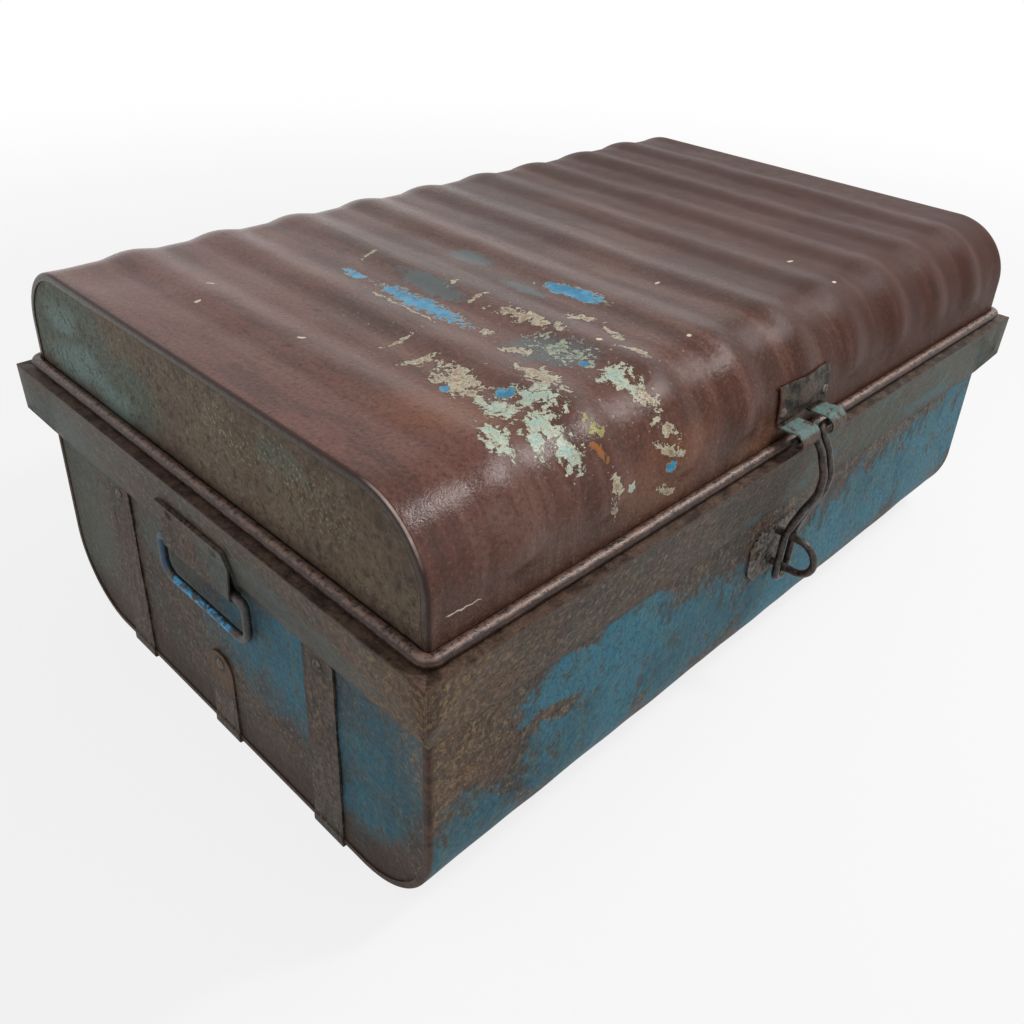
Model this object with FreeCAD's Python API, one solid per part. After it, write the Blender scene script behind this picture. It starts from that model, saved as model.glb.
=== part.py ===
import FreeCAD, Part
import math
import os

# A sheet-iron travel trunk. Millimetres, +Z up, X along its length, the hasp side faces -Y.
# The origin is on the floor, under the middle of the trunk.

# Sheet metal
SHEET = 1.0               # thickness of every large sheet
HEM = 6.0                 # width of the fold that locks a wrap over an end panel
STRIP = 1.4               # thickness of the hasp plate, staple plate and hinge leaves
TOUCH_GAP = 0.3           # gap left where pieces of two moving bodies rest on each other
RUN_CLEARANCE = 0.1       # radial clearance of each turning pivot

# Tub
BODY_LENGTH = 760.0       # over the end hems
BODY_WIDTH = 490.0        # over the front and back walls
RIM_HEIGHT = 236.0        # floor to the top of the ledge
TUB_CORNER_R = 72.0       # where the front and back walls turn into the bottom

# Rim band, flared out from the walls, with a ledge on top and a pinched ear at each corner
BAND_HEIGHT = 64.0
LEDGE_OUT = 15.0          # how far the ledge stands out from the walls
EAR_EDGE = 41.0           # height of the ear's upright outer edge
EAR_TIP_IN = 1.0          # how much less the ear's lower point stands out than its upper one
EAR_FOLD_END = 50.0       # from the wall's corner to the fold, along the end
EAR_FOLD_SIDE = 52.0      # the same, along the front and back
LIP_HEIGHT = 14.0         # upright lip that the lid drops over
LIP_CLEARANCE = 1.0

# Lid
LID_RISE = 95.0           # from the ledge up to the flats between the ribs
LID_CORNER_R = 57.0
RIB_COUNT = 9
RIB_PITCH = 77.2
RIB_WIDTH = 52.0
RIB_HEIGHT = 3.8
RIB_ROUNDNESS = 1.6       # power of the cosine that the rib's section follows
RIB_FADE = 14.0           # length over which a rib runs out, below the round of the lid
BEAD_R = 4.5              # rolled edge round the lid's rim
BEAD_OUT = 3.6            # its centre line stands this far outside the walls
BEAD_CORNER_R = 7.0
RIM_WIRE_R = 2.0

# Straps that run down both ends and under the bottom
STRAP_THICK = 1.6
STRAP_WIDTH = 34.0
STRAP_SPACING = 135.0
STRAP_MID_TOP = 82.0      # height of the middle strap's round top
STRAP_CORNER_R = 3.0

# Rivets
RIVET_R = 2.0
RIVET_HEAD_R = 4.6
RIVET_HEAD_H = 2.0
RIVET_TAIL_R = 3.4
RIVET_TAIL_H = 1.0

# End handles
BAIL_R = 3.25             # half the wire's thickness
BAIL_WIDTH = 116.0        # between the wire's centre lines
BAIL_DROP = 36.0
BAIL_BEND_R = 13.0
BAIL_TOP_BEND_R = 6.0
CLIP_WIDTH = 90.0
CLIP_THICK = 1.5
CLIP_RISE = 36.0          # up the band from its lower edge
CLIP_HANG = 4.0           # pivot below the band's lower edge
CLIP_RIVET_SPREAD = 60.0
CLIP_RIVET_DOWN = 8.0     # from the clip's top edge

# Hasp
HASP_WIRE_R = 3.25
HASP_PIVOT_OUT = 17.0     # pivot's distance outside the front wall
HASP_PIVOT_UP = 15.0      # above the ledge
HASP_PLATE_WIDTH = 72.0
HASP_PLATE_FOOT_UP = 20.0  # plate's lower edge above the ledge
HASP_PLATE_ARC = 17.0     # degrees that the plate climbs round the lid
HASP_NECK = 10.0          # between the two strands, centre to centre
HASP_EYE = 16.0           # the same where they pass the staple
HASP_EYE_SLACK = 4.0      # between the bottom of the eye and the staple
HASP_SWELL = 16.0         # how far the strands bulge out past the pivot, over the rim
HASP_KNUCKLE = 23.0       # length of each knuckle
HASP_RIVET_SPREAD = 61.0  # both in the flats beside the middle rib
HASP_RIVET_UP = 13.0      # above the plate's lower edge

# Staple
STAPLE_WIRE_R = 3.25
STAPLE_DROP = 40.5        # from the band down to the middle of its eye
STAPLE_BEND_R = 15.75
STAPLE_REACH = 23.0       # from the wall to the middle of its bend
STAPLE_PLATE_WIDTH = 76.0
STAPLE_PLATE_HEIGHT = 48.0
STAPLE_PLATE_CHAMFER = 11.0
STAPLE_RIVET_SPREAD = 49.0
STAPLE_TAIL = 2.0         # inside the wall, peened over

# Hinges at the back
HINGE_SPACING = 440.0
HINGE_WIDTH = 60.0
HINGE_PIN_R = 2.0
HINGE_MID_KNUCKLE = 20.0
HINGE_SIDE_GAP = 0.3
HINGE_BODY_DROP = 42.0    # body leaf, down the band
HINGE_LID_ARC = 10.0      # degrees that the lid leaf climbs round the lid
HINGE_RIVET_SPREAD = 40.0

V = FreeCAD.Vector
HALF_L = BODY_LENGTH / 2
HALF_W = BODY_WIDTH / 2
TUB_BOTTOM = STRAP_THICK
TUB_TOP = RIM_HEIGHT - SHEET
BAND_LOW = RIM_HEIGHT - BAND_HEIGHT
BEAD_Z = RIM_HEIGHT + TOUCH_GAP + BEAD_R
LID_TOP = RIM_HEIGHT + LID_RISE
STAPLE_HEIGHT = BAND_LOW - STAPLE_DROP
LID_ARC_Z = LID_TOP - LID_CORNER_R
RIB_END_Z = LID_ARC_Z - RIB_FADE
BAND_TILT = math.atan2(LEDGE_OUT - SHEET, BAND_HEIGHT)


def turned(points):
    """Points (x, y, z) as vectors."""
    return [V(*p) for p in points]


def flat(points):
    """A planar face through a closed run of points."""
    vectors = turned(points)
    return Part.Face(Part.makePolygon(vectors + vectors[:1]))


def polyhedron(faces):
    """A solid from faces given as runs of points."""
    shell = Part.makeShell([flat(points) for points in faces])
    shell.sewShape()
    solid = Part.makeSolid(shell)
    if solid.Volume < 0:
        solid.reverse()
    return solid


def box(x0, x1, y0, y1, z0, z1):
    return Part.makeBox(x1 - x0, y1 - y0, z1 - z0, V(x0, y0, z0))


def fused(first, *others):
    return first.fuse(list(others)).removeSplitter()


def mirrored(shape, across):
    return shape.mirror(V(0, 0, 0), across)


def aimed(shape, point, out):
    """Turn a shape that is made along +Z to point along out, with its base at point."""
    turn = FreeCAD.Rotation(V(0, 0, 1), out)
    shape.Placement = FreeCAD.Placement(point, turn)
    return shape


def export(shape, node):
    solids = shape.Solids
    valid = all(s.isValid() and s.Volume > 0 for s in solids)
    kept = solids[0] if len(solids) == 1 else Part.makeCompound(solids)
    kept.exportStep("parts/" + node + ".step")
    print(node, len(solids), "solids", round(shape.Volume, 1), "mm3", "valid" if valid else "NOT VALID")


# Sections of the tub and the lid, both a sheet that is bent over three sides

def three_sides(x, half_w, z_open, z_shut, radius, rise=0.0, z_fade=None):
    """Edges of the bent line from the back's free edge to the front's, in the plane at x.

    A rib lifts the line by rise, from z_fade up to where the round starts.
    """
    way = 1.0 if z_shut > z_open else -1.0
    y_arc = half_w - radius
    z_arc = z_shut - way * radius
    lifted = radius + rise
    bend = lifted * math.cos(math.pi / 4)
    back = [(half_w, z_open)]
    if z_fade is not None:
        back.append((half_w, z_fade))
    back.append((y_arc + lifted, z_arc))
    edges = []
    for a, b in zip(back, back[1:]):
        edges.append(Part.makeLine(V(x, a[0], a[1]), V(x, b[0], b[1])))
    top = z_arc + way * lifted
    edges.append(Part.Arc(V(x, y_arc + lifted, z_arc), V(x, y_arc + bend, z_arc + way * bend),
                          V(x, y_arc, top)).toShape())
    edges.append(Part.makeLine(V(x, y_arc, top), V(x, -y_arc, top)))
    edges.append(Part.Arc(V(x, -y_arc, top), V(x, -y_arc - bend, z_arc + way * bend),
                          V(x, -y_arc - lifted, z_arc)).toShape())
    front = [(-y, z) for y, z in reversed(back)]
    for a, b in zip(front, front[1:]):
        edges.append(Part.makeLine(V(x, a[0], a[1]), V(x, b[0], b[1])))
    return edges


def sheet_section(x, z_open, z_shut, radius, rise=0.0, z_fade=None):
    """Closed wire round the thickness of the bent sheet, at x."""
    way = 1.0 if z_shut > z_open else -1.0
    outer = three_sides(x, HALF_W, z_open, z_shut, radius, rise, z_fade)
    inner = three_sides(x, HALF_W - SHEET, z_open, z_shut - way * SHEET, radius - SHEET, rise, z_fade)
    back = Part.makeLine(V(x, HALF_W, z_open), V(x, HALF_W - SHEET, z_open))
    front = Part.makeLine(V(x, -HALF_W, z_open), V(x, -HALF_W + SHEET, z_open))
    return Part.Wire(Part.__sortEdges__(outer + [front] + inner + [back]))


def end_region(x, inset, z_open, z_shut, radius):
    """Face that fills the bent line, drawn in by inset."""
    way = 1.0 if z_shut > z_open else -1.0
    edges = three_sides(x, HALF_W - inset, z_open, z_shut - way * inset, radius - inset)
    across = Part.makeLine(V(x, HALF_W - inset, z_open), V(x, inset - HALF_W, z_open))
    return Part.Face(Part.Wire(Part.__sortEdges__(edges + [across])))


def hem(z_open, z_shut, radius):
    """Fold at the left end that holds the end panel in."""
    over = end_region(-HALF_L, SHEET, z_open, z_shut, radius)
    bare = end_region(-HALF_L, HEM, z_open, z_shut, radius)
    return over.cut(bare).extrude(V(SHEET, 0, 0))


def end_panel(z_open, z_shut, radius):
    panel = end_region(-HALF_L + SHEET, SHEET, z_open, z_shut, radius)
    return panel.extrude(V(SHEET, 0, 0))


# Rivets

def dome(radius, height):
    """A rivet head, standing on the plane z = 0."""
    ball_r = (radius ** 2 + height ** 2) / (2 * height)
    ball = Part.makeSphere(ball_r, V(0, 0, height - ball_r))
    return ball.common(Part.makeCylinder(radius + 1, height + 1))


def rivet(point, out, grip):
    """A rivet whose head sits at point, through a stack of sheets grip thick."""
    body = Part.makeCylinder(RIVET_R, grip + RIVET_TAIL_H, V(0, 0, -grip - RIVET_TAIL_H))
    tail = Part.makeCylinder(RIVET_TAIL_R, RIVET_TAIL_H, V(0, 0, -grip - RIVET_TAIL_H))
    return aimed(fused(body, tail, dome(RIVET_HEAD_R, RIVET_HEAD_H)), point, out)


def rivet_hole(point, out, grip):
    drill = Part.makeCylinder(RIVET_R, grip + 2 * SHEET, V(0, 0, -grip - SHEET))
    return aimed(drill, point, out)


# Bent wire

def wire_path(points, radii, closed=False):
    """Straight runs through the points, joined by tangent arcs of the given radii."""
    points = turned(points)
    count = len(points)
    corners = range(count) if closed else range(1, count - 1)
    cuts = {}
    for i in corners:
        before = (points[i - 1] - points[i]).normalize()
        after = (points[(i + 1) % count] - points[i]).normalize()
        half_angle = before.getAngle(after) / 2
        back_off = radii[i] / math.tan(half_angle)
        middle = (before + after).normalize()
        bulge = radii[i] / math.sin(half_angle) - radii[i]
        cuts[i] = (points[i] + before * back_off, points[i] + middle * bulge, points[i] + after * back_off)
    edges = []
    for i in range(count if closed else count - 1):
        j = (i + 1) % count
        start = cuts[i][2] if i in cuts else points[i]
        stop = cuts[j][0] if j in cuts else points[j]
        edges.append(Part.makeLine(start, stop))
        if j in cuts:
            edges.append(Part.Arc(*cuts[j]).toShape())
    return Part.Wire(Part.__sortEdges__(edges))


def round_bar(path, radius):
    """A round bar along a wire path."""
    edge = path.OrderedEdges[0]
    start = edge.valueAt(edge.FirstParameter)
    along = edge.tangentAt(edge.FirstParameter)
    ring = Part.Wire(Part.makeCircle(radius, start, along))
    return path.makePipeShell([ring], True, False)


# Tub

def make_tub_wrap():
    section = Part.Face(sheet_section(-HALF_L, TUB_TOP, TUB_BOTTOM, TUB_CORNER_R))
    sheet = section.extrude(V(BODY_LENGTH, 0, 0))
    left = hem(TUB_TOP, TUB_BOTTOM, TUB_CORNER_R)
    wrap = fused(sheet, left, mirrored(left, V(1, 0, 0)))
    legs = [staple_leg(way, STRIP + 2 * SHEET) for way in (-1, 1)]
    return wrap.cut(legs + [rivet_hole(*r) for r in staple_rivets()])


def make_tub_end():
    panel = end_panel(TUB_TOP, TUB_BOTTOM, TUB_CORNER_R)
    return panel.cut([rivet_hole(*r) for r in strap_rivets() if r[0].x < 0])


# Rim band

def band_out(z):
    """How far the band's outer face stands out from the walls at height z."""
    return SHEET + (LEDGE_OUT - SHEET) * (z - BAND_LOW) / BAND_HEIGHT


def band_block(shrink, z_top, z_low):
    """Flared block with a pinched ear at each corner; shrink draws its sides in."""
    top_out = LEDGE_OUT - shrink
    tip_out = LEDGE_OUT - EAR_TIP_IN - shrink
    foot_out = SHEET - shrink
    z_tip = RIM_HEIGHT - EAR_EDGE
    faces = []
    top, bottom = [], []
    for sx, sy in ((1, 1), (-1, 1), (-1, -1), (1, -1)):
        tip = (sx * (HALF_L + top_out), sy * (HALF_W + top_out), z_top)
        low = (sx * (HALF_L + tip_out), sy * (HALF_W + tip_out), z_tip)
        foot = (sx * (HALF_L + foot_out), sy * (HALF_W + foot_out), z_low)
        fold_end = (sx * (HALF_L + top_out), sy * (HALF_W - EAR_FOLD_END), z_top)
        fold_side = (sx * (HALF_L - EAR_FOLD_SIDE), sy * (HALF_W + top_out), z_top)
        for fold in (fold_end, fold_side):
            faces.append([fold, tip, low])
            faces.append([fold, low, foot])
        run = [fold_end, tip, fold_side]
        top += run if sx * sy > 0 else run[::-1]
        bottom.append(foot)
    faces += [top, bottom]
    for s in (1, -1):
        end_x, side_y = s * (HALF_L + top_out), s * (HALF_W + top_out)
        foot_x, foot_y = s * (HALF_L + foot_out), s * (HALF_W + foot_out)
        far_y, far_x = HALF_W - EAR_FOLD_END, HALF_L - EAR_FOLD_SIDE
        near_y, near_x = HALF_W + foot_out, HALF_L + foot_out
        faces.append([(end_x, far_y, z_top), (end_x, -far_y, z_top),
                      (foot_x, -near_y, z_low), (foot_x, near_y, z_low)])
        faces.append([(far_x, side_y, z_top), (-far_x, side_y, z_top),
                      (-near_x, foot_y, z_low), (near_x, foot_y, z_low)])
    return polyhedron(faces)


def make_band_ring():
    skirt = band_block(0.0, RIM_HEIGHT, BAND_LOW).cut(band_block(SHEET, RIM_HEIGHT - SHEET, BAND_LOW))
    lip_x = HALF_L - 2 * SHEET - LIP_CLEARANCE
    lip_y = HALF_W - SHEET - LIP_CLEARANCE
    lip_top = RIM_HEIGHT + LIP_HEIGHT
    lip = box(-lip_x, lip_x, -lip_y, lip_y, RIM_HEIGHT - SHEET, lip_top)
    mouth = box(SHEET - lip_x, lip_x - SHEET, SHEET - lip_y, lip_y - SHEET, BAND_LOW, lip_top + SHEET)
    return fused(skirt, lip).cut(mouth).removeSplitter()


def band_strips():
    """The band is four strips, mitred at the ears."""
    ring = make_band_ring()
    far = LEDGE_OUT + SHEET
    depth = LIP_HEIGHT + BAND_HEIGHT + 2 * SHEET
    inner = HALF_L - HALF_W
    strips = {}
    for s, side, end in ((-1, "front", "left"), (1, "back", "right")):
        for name, run in (
                (side, [(-HALF_L - far, s * (HALF_W + far)), (HALF_L + far, s * (HALF_W + far)),
                        (inner, 0), (-inner, 0)]),
                (end, [(s * (HALF_L + far), -HALF_W - far), (s * (HALF_L + far), HALF_W + far),
                       (s * inner, 0)])):
            slab = flat([(x, y, BAND_LOW - SHEET) for x, y in run]).extrude(V(0, 0, depth))
            strips[name] = ring.common(slab)
    left_holes = [rivet_hole(*r) for r in clip_rivets()]
    strips["left"] = strips["left"].cut(left_holes)
    strips["right"] = strips["right"].cut([mirrored(h, V(1, 0, 0)) for h in left_holes])
    strips["back"] = strips["back"].cut([rivet_hole(*r) for r in hinge_body_rivets()])
    return strips


# Lid

def rib_rise(x):
    """Height of the ribs at x."""
    step = round(x / RIB_PITCH)
    if abs(step) > (RIB_COUNT - 1) / 2:
        return 0.0
    away = abs(x - step * RIB_PITCH)
    if away >= RIB_WIDTH / 2:
        return 0.0
    return RIB_HEIGHT * math.cos(math.pi * away / RIB_WIDTH) ** RIB_ROUNDNESS


def ribbed_run(x0, x1, section):
    """Solids from x0 to x1 that follow the ribs, where section(x) is the closed outline at x.

    A flat stretch is extruded and a rib is lofted.
    """
    middles = [(i - (RIB_COUNT - 1) / 2) * RIB_PITCH for i in range(RIB_COUNT)]
    feet = [middle + side * RIB_WIDTH / 2 for middle in middles for side in (-1, 1)]
    marks = [x0] + [x for x in feet if x0 < x < x1] + [x1]
    steps = [middle + share * RIB_WIDTH / 2 for middle in middles for share in (-0.7, -0.38, 0, 0.38, 0.7)]
    pieces = []
    for a, b in zip(marks, marks[1:]):
        if rib_rise((a + b) / 2) == 0:
            pieces.append(Part.Face(section(a)).extrude(V(b - a, 0, 0)))
        else:
            stations = [a] + [x for x in steps if a + SHEET < x < b - SHEET] + [b]
            pieces.append(Part.makeLoft([section(x) for x in stations], True, False))
    return pieces


def lid_section(x):
    return sheet_section(x, BEAD_Z, LID_TOP, LID_CORNER_R, rib_rise(x), RIB_END_Z)


def make_lid_wrap():
    left = hem(BEAD_Z, LID_TOP, LID_CORNER_R)
    wrap = fused(*ribbed_run(-HALF_L, HALF_L, lid_section), left, mirrored(left, V(1, 0, 0)))
    return wrap.cut([rivet_hole(*r) for r in hasp_rivets() + hinge_lid_rivets()])


def make_lid_end():
    return end_panel(BEAD_Z, LID_TOP, LID_CORNER_R)


def rim_ring(radius):
    """A round ring that follows the lid's rim."""
    x, y = HALF_L + BEAD_OUT, HALF_W + BEAD_OUT
    points = [(-x, -y, BEAD_Z), (x, -y, BEAD_Z), (x, y, BEAD_Z), (-x, y, BEAD_Z)]
    return round_bar(wire_path(points, [BEAD_CORNER_R] * 4, closed=True), radius)


# Plates that lie on the lid's front or back and follow its ribs

def skin_plate(x0, x1, z_foot, climb):
    """Sheet of thickness STRIP on the lid's front, from z_foot up to climb degrees round the lid."""
    inner_y = LID_CORNER_R - HALF_W
    share = climb / 2

    def face_line(x, lift):
        reach = LID_CORNER_R + rib_rise(x) + lift
        flat_y = -HALF_W - lift

        def on_arc(angle):
            a = math.radians(angle)
            return V(x, inner_y - reach * math.cos(a), LID_ARC_Z + reach * math.sin(a))

        lines = [Part.makeLine(V(x, flat_y, z_foot), V(x, flat_y, RIB_END_Z)),
                 Part.makeLine(V(x, flat_y, RIB_END_Z), on_arc(0))]
        return lines + [Part.Arc(on_arc(0), on_arc(share), on_arc(climb)).toShape()], on_arc(climb)

    def outline(x):
        inner, inner_top = face_line(x, RUN_CLEARANCE)
        outer, outer_top = face_line(x, RUN_CLEARANCE + STRIP)
        foot = Part.makeLine(V(x, -HALF_W - RUN_CLEARANCE, z_foot), V(x, -HALF_W - RUN_CLEARANCE - STRIP, z_foot))
        head = Part.makeLine(inner_top, outer_top)
        return Part.Wire(Part.__sortEdges__(inner + [head] + outer + [foot]))

    return fused(*ribbed_run(x0, x1, outline))


# Straps

def strap_rivets():
    spots = []
    for side in (-1, 1):
        for row in (-1, 0, 1):
            top = STRAP_MID_TOP if row == 0 else BAND_LOW
            z = top - STRAP_WIDTH * 0.3
            spots.append((V(side * (HALF_L - SHEET + STRAP_THICK), row * STRAP_SPACING, z), V(side, 0, 0),
                          STRAP_THICK + SHEET))
    return spots


def make_strap(row):
    """A strap down the left end, under the bottom and up the right end."""
    top = STRAP_MID_TOP if row == 0 else BAND_LOW
    face_in = HALF_L - SHEET
    jog = TUB_BOTTOM + HEM
    outer = [(face_in, top), (face_in + STRAP_THICK, top), (face_in + STRAP_THICK, jog + 2 * STRAP_THICK),
             (HALF_L + STRAP_THICK, jog + STRAP_THICK), (HALF_L + STRAP_THICK, 0)]
    inner = [(HALF_L, TUB_BOTTOM), (HALF_L, jog), (face_in, jog + STRAP_THICK)]
    left = [(-x, z) for x, z in outer]
    left_in = [(-x, z) for x, z in inner]
    run = left + outer[::-1] + inner[::-1] + left_in
    y0 = row * STRAP_SPACING - STRAP_WIDTH / 2
    strap = flat([(x, y0, z) for x, z in run]).extrude(V(0, STRAP_WIDTH, 0))
    low_edges = [e for e in strap.Edges if abs(e.BoundBox.ZMax) < 1e-6 and e.BoundBox.XLength < 1e-6]
    strap = strap.makeFillet(STRAP_CORNER_R * 0.5, low_edges)
    top_r = STRAP_WIDTH * (0.45 if row == 0 else 0.1)
    top_edges = [e for e in strap.Edges if e.BoundBox.ZMin > top - 1e-6 and e.BoundBox.YLength < 1e-6]
    strap = strap.makeFillet(top_r, top_edges)
    return strap.cut([rivet_hole(*r) for r in strap_rivets()])


# End handles, made at the left end

def on_band(along, off):
    """Point in the X-Z plane at the left end: along the band's face from its foot, and off it."""
    out = SHEET + along * math.sin(BAND_TILT) + off * math.cos(BAND_TILT)
    up = BAND_LOW + along * math.cos(BAND_TILT) - off * math.sin(BAND_TILT)
    return -HALF_L - out, up


def bail_pivot():
    return on_band(-CLIP_HANG, BAIL_R + RUN_CLEARANCE + CLIP_THICK)


def clip_rivets():
    spots = []
    x, z = on_band(CLIP_RISE - CLIP_RIVET_DOWN, 0.0)
    out = V(-math.cos(BAND_TILT), 0, -math.sin(BAND_TILT))
    stack = 2 * CLIP_THICK
    for side in (-1, 1):
        face = V(x, side * CLIP_RIVET_SPREAD / 2, z) + out * stack
        spots.append((face, out, stack + SHEET))
    return spots


def make_clip():
    """Strap doubled round the bail's top bar, with both layers riveted to the band."""
    inner_r = BAIL_R + RUN_CLEARANCE
    outer_r = inner_r + CLIP_THICK
    joined = CLIP_RISE - 2 * CLIP_RIVET_DOWN

    def slab(run):
        points = [on_band(along, off) for along, off in run]
        face = flat([(x, -CLIP_WIDTH / 2, z) for x, z in points])
        return face.extrude(V(0, CLIP_WIDTH, 0))

    back = slab([(-CLIP_HANG, 0), (CLIP_RISE, 0), (CLIP_RISE, CLIP_THICK), (-CLIP_HANG, CLIP_THICK)])
    front = slab([(-CLIP_HANG, 2 * outer_r), (joined, 2 * CLIP_THICK), (CLIP_RISE, 2 * CLIP_THICK),
                  (CLIP_RISE, CLIP_THICK), (joined, CLIP_THICK), (-CLIP_HANG, 2 * outer_r - CLIP_THICK)])
    x, z = bail_pivot()
    start = V(x, -CLIP_WIDTH / 2, z)
    roll = Part.makeCylinder(outer_r, CLIP_WIDTH, start, V(0, 1, 0))
    bore = Part.makeCylinder(inner_r, CLIP_WIDTH, start, V(0, 1, 0))
    upper = slab([(-CLIP_HANG, -outer_r), (CLIP_RISE, -outer_r), (CLIP_RISE, 3 * outer_r),
                  (-CLIP_HANG, 3 * outer_r)])
    clip = fused(back, front, roll.cut(upper))
    return clip.cut([bore] + [rivet_hole(*r) for r in clip_rivets()])


def make_bail():
    x, z = bail_pivot()
    half = BAIL_WIDTH / 2
    points = [(x, 0, z), (x, half, z), (x, half, z - BAIL_DROP), (x, -half, z - BAIL_DROP), (x, -half, z)]
    radii = [0, BAIL_TOP_BEND_R, BAIL_BEND_R, BAIL_BEND_R, BAIL_TOP_BEND_R]
    loop = wire_path(points + [(x, 0, z)], radii + [0])
    return round_bar(loop, BAIL_R)


# Hasp

def hasp_pivot():
    return -HALF_W - HASP_PIVOT_OUT, RIM_HEIGHT + HASP_PIVOT_UP


def hasp_rivets():
    z = RIM_HEIGHT + HASP_PLATE_FOOT_UP + HASP_RIVET_UP
    spots = []
    for side in (-1, 1):
        x = side * HASP_RIVET_SPREAD / 2
        slope = max(0.0, min(1.0, (z - RIB_END_Z) / RIB_FADE))
        y = -HALF_W - rib_rise(x) * slope - STRIP - RUN_CLEARANCE
        spots.append((V(x, y, z), V(0, -1, 0), STRIP + RUN_CLEARANCE + SHEET))
    return spots


def make_hasp_plate():
    """Plate on the lid with two tongues curled round the loop's arms."""
    foot = RIM_HEIGHT + HASP_PLATE_FOOT_UP
    plate = skin_plate(-HASP_PLATE_WIDTH / 2, HASP_PLATE_WIDTH / 2, foot, HASP_PLATE_ARC)
    y, z = hasp_pivot()
    inner_r = HASP_WIRE_R + RUN_CLEARANCE
    outer_r = inner_r + STRIP
    face = -HALF_W - RUN_CLEARANCE
    x0 = HASP_PLATE_WIDTH / 2 - SHEET - HASP_KNUCKLE
    run = [(face, foot), (face, foot + STRIP), (face - STRIP, foot + STRIP), (y, z + outer_r), (y, z + inner_r)]
    tongue = flat([(x0, py, pz) for py, pz in run]).extrude(V(HASP_KNUCKLE, 0, 0))
    roll = Part.makeCylinder(outer_r, HASP_KNUCKLE, V(x0, y, z), V(1, 0, 0))
    bore = Part.makeCylinder(inner_r, HASP_KNUCKLE, V(x0, y, z), V(1, 0, 0))
    tongue = tongue.fuse(roll).cut(bore)
    plate = plate.fuse([tongue, mirrored(tongue, V(1, 0, 0))])
    return plate.cut([rivet_hole(*r) for r in hasp_rivets()])


def hasp_points():
    """Centre line of one strand, from the pivot down to the eye: x share of the spread, y, z, radius."""
    y, z = hasp_pivot()
    neck, eye = HASP_NECK / 2, HASP_EYE / 2
    eye_top = STAPLE_HEIGHT + STAPLE_BEND_R + STAPLE_WIRE_R
    eye_low = STAPLE_HEIGHT - STAPLE_BEND_R - STAPLE_WIRE_R - HASP_EYE_SLACK - HASP_WIRE_R
    hang_y = -HALF_W - 2 * STRIP - 2.4 * HASP_WIRE_R
    drop = z - eye_top
    return [(neck, y, z, 5.0),
            (neck, y - 0.6 * HASP_SWELL, z - 0.145 * drop, 14.0),
            (neck, y - HASP_SWELL, z - 0.34 * drop, 26.0),
            (neck, y - 0.9 * HASP_SWELL, z - 0.52 * drop, 20.0),
            (neck, y - 5, z - 0.72 * drop, 24.0),
            (neck + 0.5, y + 0.5, z - 0.86 * drop, 14.0),
            (eye, hang_y - 2, eye_top, 20.0),
            (eye, hang_y, eye_low, eye - 0.3)]


def make_hasp_loop():
    y, z = hasp_pivot()
    arm = HASP_PLATE_WIDTH / 2 - 2 * SHEET
    strand = hasp_points()
    left = [(-x, py, pz) for x, py, pz, r in strand]
    right = [(x, py, pz) for x, py, pz, r in reversed(strand)]
    bends = [r for x, py, pz, r in strand]
    points = [(-arm, y, z)] + left + right + [(arm, y, z)]
    radii = [0] + bends + bends[::-1] + [0]
    return round_bar(wire_path(points, radii), HASP_WIRE_R)


# Staple

def staple_rivets():
    spots = []
    for side in (-1, 1):
        point = V(side * STAPLE_RIVET_SPREAD / 2, -HALF_W - STRIP, STAPLE_HEIGHT)
        spots.append((point, V(0, -1, 0), STRIP + SHEET))
    return spots


def staple_leg(way, length):
    """Stretch of one leg that passes the plate and the wall."""
    z = STAPLE_HEIGHT + way * STAPLE_BEND_R
    return Part.makeCylinder(STAPLE_WIRE_R, length, V(0, -HALF_W - STRIP - SHEET / 2, z), V(0, 1, 0))


def make_staple_plate():
    half_w, half_h, cut = STAPLE_PLATE_WIDTH / 2, STAPLE_PLATE_HEIGHT / 2, STAPLE_PLATE_CHAMFER
    run = [(half_w - cut, half_h), (half_w, half_h - cut), (half_w, cut - half_h), (half_w - cut, -half_h),
           (cut - half_w, -half_h), (-half_w, cut - half_h), (-half_w, half_h - cut), (cut - half_w, half_h)]
    plate = flat([(x, -HALF_W, STAPLE_HEIGHT + z) for x, z in run]).extrude(V(0, -STRIP, 0))
    return plate.cut([staple_leg(way, STRIP + 2 * SHEET) for way in (-1, 1)]
                     + [rivet_hole(*r) for r in staple_rivets()])


def make_staple():
    y_in = -HALF_W + SHEET + STAPLE_TAIL
    y_out = -HALF_W - STAPLE_REACH
    top, low = STAPLE_HEIGHT + STAPLE_BEND_R, STAPLE_HEIGHT - STAPLE_BEND_R
    path = Part.Wire([Part.makeLine(V(0, y_in, top), V(0, y_out, top)),
                      Part.Arc(V(0, y_out, top), V(0, y_out - STAPLE_BEND_R, STAPLE_HEIGHT),
                               V(0, y_out, low)).toShape(),
                      Part.makeLine(V(0, y_out, low), V(0, y_in, low))])
    bar = round_bar(path, STAPLE_WIRE_R)
    heads = [Part.makeCylinder(STAPLE_WIRE_R + SHEET, STAPLE_TAIL, V(0, -HALF_W + SHEET, z), V(0, 1, 0))
             for z in (top, low)]
    return fused(bar, *heads)


# Hinges at the back, made round x = 0

def hinge_axis():
    knuckle_r = HINGE_PIN_R + RUN_CLEARANCE + STRIP
    return HALF_W + LEDGE_OUT + knuckle_r + TOUCH_GAP, BEAD_Z


def hinge_lid_foot():
    """Lower edge of the lid leaf, just over the lid's rolled edge."""
    return BEAD_Z + BEAD_R + 2 * STRIP


def hinge_places():
    return [-HINGE_SPACING / 2, HINGE_SPACING / 2]


def band_back(along, off):
    """Point in the Y-Z plane on the band's back face."""
    x, z = on_band(along, off)
    return -x - HALF_L + HALF_W, z


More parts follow.
